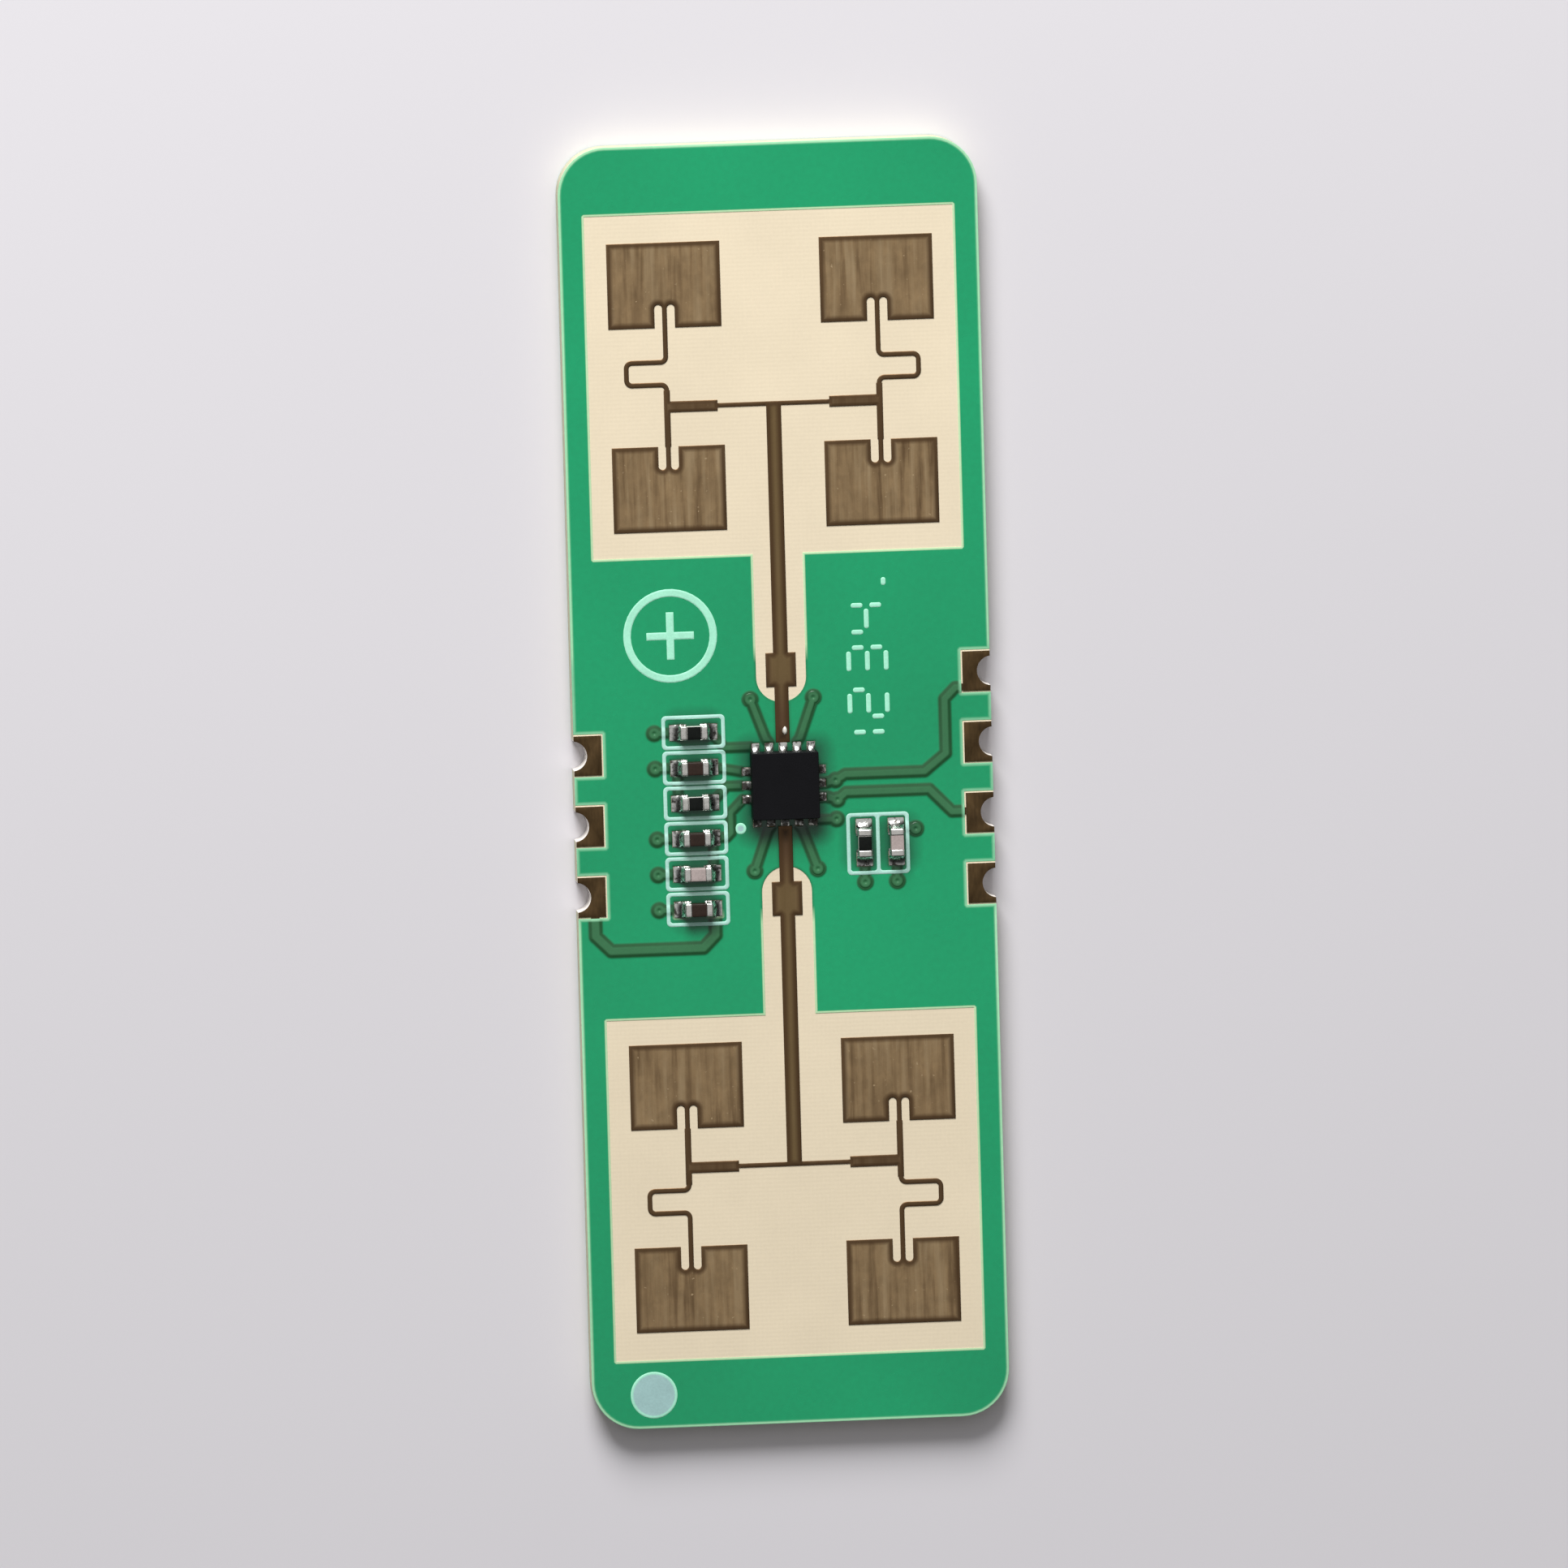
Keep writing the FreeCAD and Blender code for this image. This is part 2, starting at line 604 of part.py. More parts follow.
COAT = "copper_thickness + mask_thickness"
mask_openings = antenna_openings("mask_opening", "0", FRONT_COPPER, COAT)
mask_openings += contact_pads("front_pad_opening", "pad_opening_margin", FRONT_COPPER, COAT)
mask_openings += chip_lands("lead_opening", "land_opening_margin", FRONT_COPPER, COAT)
mask_openings += component_lands("land_opening", "land_opening_margin", FRONT_COPPER, COAT)
track_cover = fuse("track_cover", wiring("cover", "track_cover", FRONT_COPPER, COAT))
mask_sheet = board_blank("front_mask", FRONT_COPPER, "mask_thickness")
front_mask_blank = fuse("front_mask_blank", [mask_sheet, track_cover])
piece(cut("front_solder_mask", front_mask_blank, mask_openings + [signal_tracks, plated_vias]),
      "front_solder_mask")


# Antennas

def antenna_block(name, x, y, width, length):
    """Make a rectangle of antenna copper, centred on x and y."""
    return block(name, x, y, FRONT_COPPER, width, length, "copper_thickness")


def antenna_patch(name, row, inset_side):
    """Make one patch with its inset: a slot on each side of the line that feeds it."""
    slots = []
    length = "inset_depth - inset_gap / 2"
    edge = f"{row} + ({inset_side}) * patch_height / 2"
    for side in (-1, 1):
        x = f"patch_column + ({side}) * (column_line_width + inset_gap) / 2"
        slots.append(antenna_block(name + "_slot", x, f"{edge} - ({inset_side}) * ({length}) / 2",
                                   "inset_gap", length))
        slots.append(disc(name + "_slot_end", x, f"{edge} - ({inset_side}) * ({length})", FRONT_COPPER,
                          "inset_gap / 2", "copper_thickness"))
    blank = antenna_block(name + "_blank", "patch_column", row, "patch_width", "patch_height")
    return cut(name, blank, slots)


def quarter_bend(name, x, y, start):
    """Make a quarter ring of the column line, around x and y."""
    parts = []
    for kind, side in (("outside", 1), ("inside", -1)):
        sector = bind(doc.addObject("Part::Cylinder", f"{name}_{kind}"), Height="copper_thickness",
                      Radius=f"loop_bend_radius + ({side}) * column_line_width / 2")
        sector.Angle = 90
        parts.append(place(sector, x, y, FRONT_COPPER, start))
    return cut(name, parts[0], parts[1:])


def antenna_run(name, x, y, end, width):
    """Make a stretch of line up along y from the place x, y to the row given as its end."""
    return antenna_block(name, x, f"({y} + {end}) / 2", width, f"{end} - ({y})")


def antenna_column():
    """Make the right column: two patches, joined by a line with a delay loop, and half of the combiner."""
    line = "column_line_width"
    parts = [antenna_patch("outer_patch", "outer_patch_row", -1),
             antenna_patch("inner_patch", "inner_patch_row", 1),
             antenna_run("column_top", "patch_column", f"{LOOP_OUTER_ROW} + loop_bend_radius",
                         OUTER_PATCH_EDGE, line),
             antenna_run("column_stub", "patch_column", INNER_PATCH_EDGE,
                         f"{LOOP_INNER_ROW} - loop_bend_radius", "column_stub_width"),
             antenna_run("loop_side", LOOP_COLUMN, f"{LOOP_INNER_ROW} + loop_bend_radius",
                         f"{LOOP_OUTER_ROW} - loop_bend_radius", line)]
    for name, row in (("inner_arm", LOOP_INNER_ROW), ("outer_arm", LOOP_OUTER_ROW)):
        parts.append(antenna_block(name, "patch_column + loop_reach / 2", row,
                                   "loop_reach - 2 * loop_bend_radius", line))
    near, far = "patch_column + loop_bend_radius", f"{LOOP_COLUMN} - loop_bend_radius"
    parts += [quarter_bend("loop_exit_bend", near, f"{LOOP_OUTER_ROW} + loop_bend_radius", "180"),
              quarter_bend("loop_outer_bend", far, f"{LOOP_OUTER_ROW} - loop_bend_radius", "0"),
              quarter_bend("loop_inner_bend", far, f"{LOOP_INNER_ROW} + loop_bend_radius", "270"),
              quarter_bend("loop_entry_bend", near, f"{LOOP_INNER_ROW} - loop_bend_radius", "90"),
              antenna_block("combiner_step", "patch_column - combiner_step_length / 2", COMBINER_ROW,
                            "combiner_step_length", "combiner_step_width"),
              antenna_block("combiner_line", f"({COMBINER_STEP_END}) / 2", COMBINER_ROW,
                            COMBINER_STEP_END, "combiner_line_width")]
    return fuse("antenna_column", parts)


def antenna_feed():
    """Make the line from the combiner to the chip, with its wide matching block."""
    block_start = "matching_block_start"
    block_end = f"{block_start} + matching_block_length"
    far_end = f"{COMBINER_ROW} + combiner_line_width / 2"
    return [antenna_run("main_feed", "0", block_end, far_end, "feed_width"),
            antenna_run("matching_block", "0", block_start, block_end, "matching_block_width"),
            antenna_run("chip_feed", "0", "lead_land_end", block_start, "chip_feed_width")]


right_column = antenna_column()
left_column = mirror("antenna_left_column", right_column, (1, 0, 0))
transmit_antenna = fuse("transmit_antenna", [right_column, left_column] + antenna_feed())
piece(transmit_antenna, "transmit_antenna")
piece(mirror("receive_antenna", transmit_antenna, (0, 1, 0)), "receive_antenna")


# Solder

def solder_wedge(name, x, y, turn, width, reach, height):
    """Make a sloping solder fillet on the lands, which runs out from x, y at the turn given."""
    left, right = f"-({width}) / 2", f"({width}) / 2"
    item = bind(doc.addObject("Part::Wedge", name), Xmin=left, Xmax=right, X2min=left, X2max=right,
                Ymax=reach, Zmax=height, Z2max="solder_thickness")
    item.Ymin = item.Zmin = item.Z2min = 0
    return place(item, x, y, LAND_TOP, turn)


# The turn about the vertical of a wedge that runs out along each axis and side
WEDGE_TURN = {("x", 1): "270", ("x", -1): "90", ("y", 1): "0", ("y", -1): "180"}


def solder_joint(name, axis, side, x, y, seat_length, width, reach, height):
    """Make the solder under a terminal that ends at x, y, and the fillet that rises outside it."""
    seat_x, seat_y = lie_along(axis, x, y, f"({-side}) * ({seat_length}) / 2", "0")
    along_x, along_y = sizes_along(axis, seat_length, width)
    seat = block(name + "_seat", seat_x, seat_y, LAND_TOP, along_x, along_y, "solder_thickness")
    wedge = solder_wedge(name + "_wedge", x, y, WEDGE_TURN[axis, side], width, reach, height)
    return fuse(name, [seat, wedge])


# Radar chip

def chip_leads():
    """Make the sixteen leads that show along the underside of the chip's four sides."""
    parts = []
    for number, (axis, side, pitches) in enumerate(LEADS):
        x, y = lie_along(axis, "0", "0", f"({side}) * (chip_width - lead_length) / 2",
                         f"({pitches}) * lead_pitch")
        along_x, along_y = sizes_along(axis, "lead_length", "lead_width")
        parts.append(block(f"lead_{number}", x, y, PART_SEAT, along_x, along_y, "lead_thickness"))
    return group("chip_leads", parts)


def bond_wires(die, leads):
    """Bend one thin wire from the die to each lead, up over the die's edge."""
    size = sheet.get
    lead_top, die_top = leads.Shape.BoundBox.ZMax, die.Shape.BoundBox.ZMax
    pad_reach = size("die_width") / 2 - size("bond_pad_inset")
    lead_reach = (size("chip_width") - size("lead_length")) / 2
    wires = []
    for axis, side, pitches in LEADS:
        pad_along = pitches * size("bond_pad_pitch")
        lead_along = pitches * size("lead_pitch")
        ends = [(side * pad_reach, pad_along, die_top),
                (side * (pad_reach + lead_reach) / 2, (pad_along + lead_along) / 2,
                 die_top + size("bond_wire_rise")),
                (side * lead_reach, lead_along, lead_top)]
        points = [FreeCAD.Vector(*(end if axis == "x" else (end[1], end[0], end[2]))) for end in ends]
        spine = Part.Wire(Part.Arc(*points).toShape())
        start = spine.Edges[0].tangentAt(spine.Edges[0].FirstParameter)
        ring = Part.Wire(Part.makeCircle(size("bond_wire_radius"), points[0], start))
        wires.append(spine.makePipeShell([ring], True, False))
    item = doc.addObject("Part::Feature", "bond_wire_sweeps")
    item.Shape = Part.makeCompound(wires)
    return cut("bond_wires", item, [die, leads])


lead_group = piece(chip_leads(), "chip_leads")
paddle = piece(block("chip_paddle", "0", "0", PART_SEAT, "paddle_width", "paddle_width", "lead_thickness"),
               "chip_paddle")
die_seat = f"{PART_SEAT} + lead_thickness"
die = piece(block("chip_die", "0", "0", die_seat, "die_width", "die_width", "die_thickness"), "chip_die")
doc.recompute()
wire_group = piece(bond_wires(die, lead_group), "chip_bond_wires")
chip_blank = plate("chip_blank", "0", "0", PART_SEAT, "chip_width", "chip_width", "chip_height",
                   "chip_corner_radius", "chip_top_radius")
piece(cut("chip_body", chip_blank, [lead_group, paddle, die, wire_group]), "chip_body")

chip_joints = [
    block("paddle_joint", "0", "0", LAND_TOP, "paddle_width", "paddle_width", "solder_thickness")]
for number, (axis, side, pitches) in enumerate(LEADS):
    x, y = lie_along(axis, "0", "0", f"({side}) * chip_width / 2", f"({pitches}) * lead_pitch")
    chip_joints.append(solder_joint(f"lead_joint_{number}", axis, side, x, y, "lead_length", "lead_width",
                                    "lead_fillet_reach", "solder_thickness + lead_thickness"))
piece(group("chip_solder", chip_joints), "chip_solder")


# Chip resistors and capacitors

def terminals(label, axis, x, y, height, core):
    """Make the two metal end caps that wrap the ends of the ceramic."""
    caps = []
    for end in (-1, 1):
        cap_x, cap_y = lie_along(axis, x, y, f"({end}) * (part_length - terminal_length) / 2", "0")
        along_x, along_y = sizes_along(axis, "terminal_length", "part_width")
        cap = block(f"{label}_cap_{end + 1}", cap_x, cap_y, PART_SEAT, along_x, along_y, height)
        caps.append(cut(f"{label}_terminal_{end + 1}", cap, [core]))
    return piece(group(label + "_terminals", caps), label + "_terminals")


def chip_component(label, kind, axis, x, y):
    """Make one chip resistor or capacitor and return its solder joints."""
    height = kind + "_height"
    length, width = "part_length - 2 * terminal_wall", "part_width - 2 * terminal_wall"
    along_x, along_y = sizes_along(axis, length, width)
    core = plate(label + "_core", x, y, f"{PART_SEAT} + terminal_wall", along_x, along_y,
                 f"{height} - 2 * terminal_wall", "terminal_wall")
    piece(core, label + {"resistor": "_substrate", "capacitor": "_body"}[kind])
    if kind == "resistor":
        along_x, along_y = sizes_along(axis, "part_length - 2 * terminal_length", width)
        piece(block(label + "_coat", x, y, f"{PART_SEAT} + {height} - terminal_wall", along_x, along_y,
                    "overcoat_thickness"), label + "_overcoat")
    terminals(label, axis, x, y, height, core)
    joints = []
    for side in (-1, 1):
        end_x, end_y = lie_along(axis, x, y, f"({side}) * part_length / 2", "0")
        joints.append(solder_joint(f"{label}_joint_{side + 1}", axis, side, end_x, end_y,
                                   "terminal_length", "part_width", "part_fillet_reach",
                                   f"solder_thickness + fillet_rise * {height}"))
    return joints


part_joints = []
for component in COMPONENTS:
    part_joints += chip_component(*component)
piece(group("part_solder", part_joints), "part_solder")

piece(plate("feed_solder_bead", "bead_x", "bead_y", LAND_TOP, "bead_width", "bead_length", "bead_height",
            "bead_corner_radius"), "feed_solder_bead")


# Printed legend

def ink_plate(name, x, y, z, length, width, radius):
    """Make a rounded rectangle of ink."""
    return plate(name, x, y, z, length, width, "legend_thickness", radius)


def ink_disc(name, x, y, radius):
    """Make a round dot of ink."""
    return disc(name, x, y, MASK_TOP, radius, "legend_thickness")


def ink_stroke(name, x, y, length, width):
    """Make a straight stroke of ink."""
    return block(name, x, y, MASK_TOP, length, width, "legend_thickness")


INNER_RADIUS = "frame_corner_radius - legend_line / 2"
LEFT_FRAME = ["left_frame_width", "left_frame_height"]
RIGHT_FRAME = ["right_frame_width", "right_frame_height"]
RIGHT_CELL = "(right_frame_width - 3 * legend_line) / 2"


def printed_frames(level, z):
    """Make the outlines printed round the components, at the height given."""
    frames = []
    for number, y in enumerate(LEFT_ROWS):
        name = f"{level}_left_frame_{number}"
        outer = ink_plate(name + "_outer", "left_part_column", y, z, *LEFT_FRAME, "frame_corner_radius")
        inner = ink_plate(name + "_inner", "left_part_column", y, z,
                          *(side + " - 2 * legend_line" for side in LEFT_FRAME), INNER_RADIUS)
        frames.append(cut(name, outer, [inner]))
    name = f"{level}_right_frame"
    outer = ink_plate(name + "_outer", "right_frame_x", "right_frame_y", z, *RIGHT_FRAME,
                      "frame_corner_radius")
    cells = []
    for side in (-1, 1):
        cell_x = f"right_frame_x + ({side}) * ({RIGHT_CELL} + legend_line) / 2"
        cells.append(ink_plate(f"{name}_cell_{side + 1}", cell_x, "right_frame_y", z, RIGHT_CELL,
                               f"{RIGHT_FRAME[1]} - 2 * legend_line", INNER_RADIUS))
    frames.append(cut(name, outer, cells))
    return fuse(f"{level}_frames", frames)


# The ink lies on the mask between the tracks, and on top of the cover where it crosses one
low_frames = cut("low_ink", printed_frames("low", MASK_TOP), [track_cover])
cover_footprint = fuse("cover_footprint", wiring("footprint", "track_cover", COVER_TOP, "legend_thickness"))
high_frames = doc.addObject("Part::Common", "high_ink")
high_frames.Base, high_frames.Tool = printed_frames("high", COVER_TOP), cover_footprint
piece(group("component_frames", [low_frames, high_frames]), "component_frames")

piece(ink_disc("pin_one_dot", "pin_dot_x", "pin_dot_y", "pin_dot_radius"), "pin_one_dot")
piece(ink_disc("corner_dot", "corner_dot_x", "corner_dot_y", "corner_dot_radius"), "corner_dot")

ring = cut("ring", ink_disc("ring_outer", "ring_x", "ring_y", "ring_radius"),
           [ink_disc("ring_inner", "ring_x", "ring_y", "ring_radius - ring_line")])
cross = fuse("ring_cross", [
    ink_stroke("cross_across", "ring_x", "ring_y", "ring_cross_length", "ring_line"),
    ink_stroke("cross_along", "ring_x", "ring_y", "ring_line", "ring_cross_length")])
piece(group("ring_mark", [ring, cross]), "ring_mark")

# The strokes of each digit, in the order they are drawn. The digits read up the board.
DIGITS = [("upper_right", "lower_right"),
          ("top", "upper_right", "middle", "lower_left", "bottom"),
          ("top", "upper_right", "middle", "lower_right", "bottom"),
          ("upper_left", "upper_right", "middle", "lower_right")]
# Each stroke's place in a digit, as shares of its height down and its width across
STROKES = {"top": (-0.5, 0), "middle": (0, 0), "bottom": (0.5, 0), "upper_left": (-0.25, -0.5),
           "upper_right": (-0.25, 0.5), "lower_left": (0.25, -0.5), "lower_right": (0.25, 0.5)}

strokes = []
for number, digit in enumerate(DIGITS):
    for stroke in digit:
        down, across = STROKES[stroke]
        x = f"code_column + ({down}) * code_digit_height"
        y = f"code_first_row + {number} * code_pitch + ({across}) * code_digit_width"
        size = ("code_line", "code_long_stroke") if across == 0 else ("code_short_stroke", "code_line")
        strokes.append(ink_stroke(f"digit_{number}_{stroke}", x, y, *size))
strokes.append(ink_stroke("code_point", "code_point_x", "code_point_y", "code_line", "code_point_length"))
piece(group("code_field", strokes), "code_field")


# Check every object, then write one file for each sub-part

doc.recompute()
faults = [item.Name for item in doc.Objects if "Invalid" in item.State or "Error" in item.State]
if faults:
    raise RuntimeError(f"objects that failed: {faults}")
for item in pieces:
    if item.Shape.isNull() or not item.Shape.isValid():
        raise RuntimeError(f"{item.Label} has no valid shape")

os.makedirs("parts", exist_ok=True)
for item in pieces:
    item.Shape.exportStep(f"parts/{item.Label}.step")
    print(f"{item.Label}: {len(item.Shape.Solids)} solids, {item.Shape.Volume:.5f} mm3")
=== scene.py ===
"""Dress the radar motion sensor: a bare circuit module with two patch antenna arrays and one radar chip.

The solids give every size and place. This file gives each visible piece its real surface: the soft
coat of mask over the tracks, the etched copper, the solder fillets, the end caps and the printed ink.
Shapes are worked out in millimetres and written to the meshes in metres.
"""
import functools
import json
import math
import random

import bmesh
import bpy
from bpy.props import FloatProperty, FloatVectorProperty, PointerProperty
from mathutils import Matrix, Vector
from mathutils.bvhtree import BVHTree
from mathutils.geometry import delaunay_2d_cdt


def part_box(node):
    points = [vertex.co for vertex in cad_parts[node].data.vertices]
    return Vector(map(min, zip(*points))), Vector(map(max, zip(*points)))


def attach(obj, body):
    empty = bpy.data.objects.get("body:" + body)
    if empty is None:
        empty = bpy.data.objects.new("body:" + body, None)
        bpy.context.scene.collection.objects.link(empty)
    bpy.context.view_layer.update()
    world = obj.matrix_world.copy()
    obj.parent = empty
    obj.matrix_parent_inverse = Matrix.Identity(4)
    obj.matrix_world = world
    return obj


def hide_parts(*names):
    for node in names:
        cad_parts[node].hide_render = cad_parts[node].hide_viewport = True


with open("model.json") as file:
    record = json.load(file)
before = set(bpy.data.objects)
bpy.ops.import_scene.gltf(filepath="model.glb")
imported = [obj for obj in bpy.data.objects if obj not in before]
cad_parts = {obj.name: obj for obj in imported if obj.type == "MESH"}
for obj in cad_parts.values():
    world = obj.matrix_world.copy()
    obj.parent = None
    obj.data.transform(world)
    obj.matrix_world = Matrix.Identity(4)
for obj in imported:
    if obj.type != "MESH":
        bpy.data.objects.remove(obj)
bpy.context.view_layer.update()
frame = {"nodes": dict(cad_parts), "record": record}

bl_info = {
    "name": "Radar sensor module looks",
    "version": (1, 0, 0),
    "blender": (4, 5, 0),
    "location": "3D View > Sidebar > Radar module",
    "description": "Gives the radar sensor module its mask, copper, solder, components and print",
    "category": "Object",
}

MM = 0.001
# Two points closer than this are one point, and a face this near a height lies on it, in millimetres
WELD = 0.0005
LEVEL = 0.002
# A side that is moved inward is tried in steps of this length, and a step this short tells the inner
# side of a loop, in millimetres
RING_STEP = 0.08
INWARD_STEP = 0.004
# The least divisor for a corner that is moved inward, so that a sharp one doesn't shoot away
MITRE_LIMIT = 0.35
# Measures that the meshes carry for the finishes, in millimetres: how far a point lies inside copper,
# from an opening, from the board's outline, from a chip or component and from the edge of a print or
# an antenna, up to the reach
COPPER_DEPTH, OPENING_DEPTH, OUTLINE_DEPTH = "in_copper", "from_opening", "from_outline"
PART_DISTANCE, EDGE_DEPTH = "from_part", "from_edge"
MEASURE_REACH = 0.8
SHARP_ANGLE = math.radians(38)
FLAT_ANGLE = math.radians(0.5)


def linear(value):
    """Turn one channel of a screen colour, 0 to 255, into light."""
    value /= 255
    return value / 12.92 if value <= 0.04045 else ((value + 0.055) / 1.055) ** 2.4


def colour(name, description, red, green, blue):
    """Declare a colour that a user can change, given as it looks on a screen."""
    return FloatVectorProperty(name=name, description=description, subtype="COLOR", min=0.0, max=1.0,
                               default=(linear(red), linear(green), linear(blue)))


def length(name, description, millimetres):
    """Declare a length that a user can change, given in millimetres."""
    return FloatProperty(name=name, description=description, unit="LENGTH", precision=6,
                         min=0.0, default=millimetres * MM)


def angle(name, description, degrees):
    """Declare an angle that a user can change, given in degrees."""
    return FloatProperty(name=name, description=description, subtype="ANGLE",
                         default=math.radians(degrees))


def share(name, description, value, most=1.0):
    """Declare a plain number that a user can change."""
    return FloatProperty(name=name, description=description, min=0.0, max=most, default=value)


# Sizes and colours that a user would change

class RadarBoardLooks(bpy.types.PropertyGroup):
    """The mask, the laminate, the glass fibre and the printed ink"""

    mask: colour("Mask", "Solder mask over bare laminate", 8, 152, 99)
    covered: colour("Mask on copper", "Solder mask where a track lies under it", 52, 114, 72)
    # Partly thinner mask over the edge of the copper, partly painted shade along the sides of the tracks
    shoulder: colour("Mask shoulder", "Solder mask where it thins over the side of a track", 30, 84, 46)
    plane: colour("Mask on plane", "Solder mask over the rear copper plane", 52, 146, 90)
    # Painted shadow with some flux residue: darker mask beside the chip and the components, most below the
    # chip
    flux_and_painted_shadow: colour("Flux haze", "Solder mask dulled by flux beside the parts", 10, 46, 33)
    # Partly painted highlight: thinner, paler mask along the board's outline, where light catches the edge
    verge_and_highlight: colour("Board verge", "Thin pale mask along the board's outline", 150, 222, 176)
    fringe: colour("Window fringe", "Mask that thins out over the cream laminate", 206, 238, 190)
    laminate: colour("Laminate", "Cream laminate in the antenna windows", 230, 215, 187)
    fibre: colour("Glass fibre", "Cut edge of the board", 206, 204, 172)
    ink: colour("Ink", "Ring mark, code and the rims of the dots", 168, 236, 206)
    frame_ink: colour("Frame ink", "Frames printed round the components", 176, 222, 208)
    dot: colour("Corner dot", "Larger printed dot in the corner", 160, 196, 194)
    shoulder_out: length("Shoulder outside", "How far the mask slopes down beside a track", 0.12)
    shoulder_in: length("Shoulder inside", "How far the slope reaches in over a track", 0.08)
    rim: length("Mask rim", "Width of the rounded edge at each opening", 0.035)
    rim_drop: length("Mask rim drop", "How much the mask thins at each opening", 0.007)
    via_dip: length("Via dip", "How far the mask sinks into each via", 0.035)
    via_dip_radius: length("Via dip radius", "Radius of that hollow", 0.055)
    fringe_width: length("Fringe width", "Width of the pale fringe along the antenna windows", 0.09)
    fringe_start: length("Fringe start", "Distance from the chip at which that fringe begins", 4.4)
    # Painted shade beside each opening of the mask
    opening_shade: length("Opening shade", "Width of the darker mask beside each opening", 0.1)
    # Reach and depth of that painted shadow, and how far it runs below the chip
    painted_shadow_reach: length("Haze reach", "How far the flux haze spreads from a part", 0.75)
    flux_and_shadow_run: length("Flux run", "How far the flux ran out below the chip", 0.4)
    painted_shadow_depth: share("Haze depth", "How dark the haze is right beside a part", 0.78)
    verge_highlight_width: length("Verge width", "Width of the pale mask along the board's outline", 0.13)
    dot_rim: length("Dot rim", "Width of the brighter ink round each printed dot", 0.12)
    ink_rim: length("Ink rim", "Width of the ink's rounded edge", 0.03)


class RadarCopperLooks(bpy.types.PropertyGroup):
    """The antenna copper, the edge contacts and the inner foil"""

    patch: colour("Antenna copper", "Brown protective finish on the antennas", 160, 133, 97)
    streak: colour("Streaks", "Pale brushed streaks in that finish", 196, 170, 132)
    # A darker band along each antenna's edges
    outline: colour("Antenna outline", "Darker rim that the etching leaves", 90, 66, 42)
    feed: colour("Feed copper", "Darker tone of the feed up the middle", 122, 100, 65)
    warm: colour("Warm copper", "Redder tone near the chip", 104, 78, 57)
    # Flux stain and painted shadow on the feed beside the chip
    stain_and_shade: colour("Flux stain", "Flux burnt onto the feed beside the chip", 30, 24, 18)
    contact: colour("Contact pads", "Brown copper of the edge contacts", 90, 70, 44)
    wall: colour("Contact walls", "Pale plating in the half holes", 250, 244, 236)
    foil: colour("Foil", "Etched copper inside the board", 196, 130, 92)
    outline_width: length("Outline width", "Width of the darker rim", 0.24)
    rim: length("Copper rim", "Width of the rounded edge", 0.03)
    rim_drop: length("Copper rim drop", "How much that edge falls", 0.012)
    contact_edge: length("Contact edge", "Rounding of an edge contact", 0.01)
    stain_and_shade_reach: length("Stain reach", "How far from the chip's side the stain ends", 0.95)
    warm_reach: length("Warm reach", "Distance from the chip at which the red tone ends", 3.9)


class RadarPartLooks(bpy.types.PropertyGroup):
    """The chip, the components and their solder"""

    mould: colour("Moulding", "Black moulding compound of the chip", 14, 14, 17)
    tin: colour("Tin", "Plated end caps and leads", 226, 224, 218)
    solder: colour("Solder", "Reflowed solder", 214, 214, 210)
    flux: colour("Flux", "Flux residue that darkens the solder", 48, 40, 32)
    bead: colour("Bead", "Pale bead of solder on the upper feed", 232, 226, 216)
    alumina: colour("Alumina", "White ceramic of the resistors", 226, 224, 216)
    glass: colour("Overcoat", "Dark glass over the resistors", 9, 13, 10)
    brown: colour("Brown ceramic", "Darker capacitors", 44, 29, 21)
    grey: colour("Grey ceramic", "Paler capacitors", 172, 158, 154)
    silicon: colour("Silicon", "Radar die", 86, 88, 98)
    gold: colour("Gold", "Bond wires", 226, 184, 96)
    cap_rounding: length("Cap rounding", "Rounding of the end caps", 0.05)
    cap_swell: length("Cap swell", "How far the end caps bulge", 0.012)
    body_rounding: length("Body rounding", "Rounding of the ceramic", 0.03)
    coat_crown: length("Coat crown", "How much the resistor's glass is domed", 0.012)
    fillet_edge: length("Fillet edge", "Thickness of the solder at the end of a land", 0.012)
    fillet_power: share("Fillet hollow", "How hollow the solder fillets are", 2.3, 5.0)
    clean_solder: share("Clean solder", "Share of the solder that flux leaves bright", 0.5)
    # Painted shade: the chip's three sides away from the lamp take a darker copy of the solder, with more
    # flux
    shaded_side_solder: share("Dull solder", "The same share at the chip's three dull sides", 0.38)
    lead_wetting: length("Lead wetting", "How far the solder spreads over a chip land", 0.018)
    cap_wetting: length("Cap wetting", "How far the solder spreads over a component land", 0.032)


class RadarStageLooks(bpy.types.PropertyGroup):
    """The floor, the lamps and the camera"""

    floor: colour("Floor", "Plain pale floor", 216, 213, 217)
    sky: share("Sky", "Strength of the light from above", 0.64, 5.0)
    below: share("Light from below", "Level of the light that a look at the underside needs", 0.9, 5.0)
    sky_height: angle("Sky height", "How high the brightest part of the sky stands", 70.0)
    key_power: share("Key lamp", "Power of the soft lamp, in watts", 1.45, 100.0)
    key_size: length("Key size", "Width of the soft lamp", 190.0)
    key_distance: length("Key distance", "Distance of the lamp from the board", 320.0)
    key_height: angle("Key height", "How high the lamp stands over the board", 34.0)
    key_turn: angle("Key turn", "How far the lamp stands to the left of the board's far end", 10.0)
    view_distance: length("View distance", "Distance of the camera", 900.0)
    view_forward: angle("View forward", "Camera's lean towards the transmit antenna", 6.0)
    view_left: angle("View left", "Camera's lean to the left", 5.0)
    view_roll: angle("View roll", "How far the board leans left in the picture", 1.6)
    frame_height: length("Frame height", "Height of the picture at the board", 56.0)


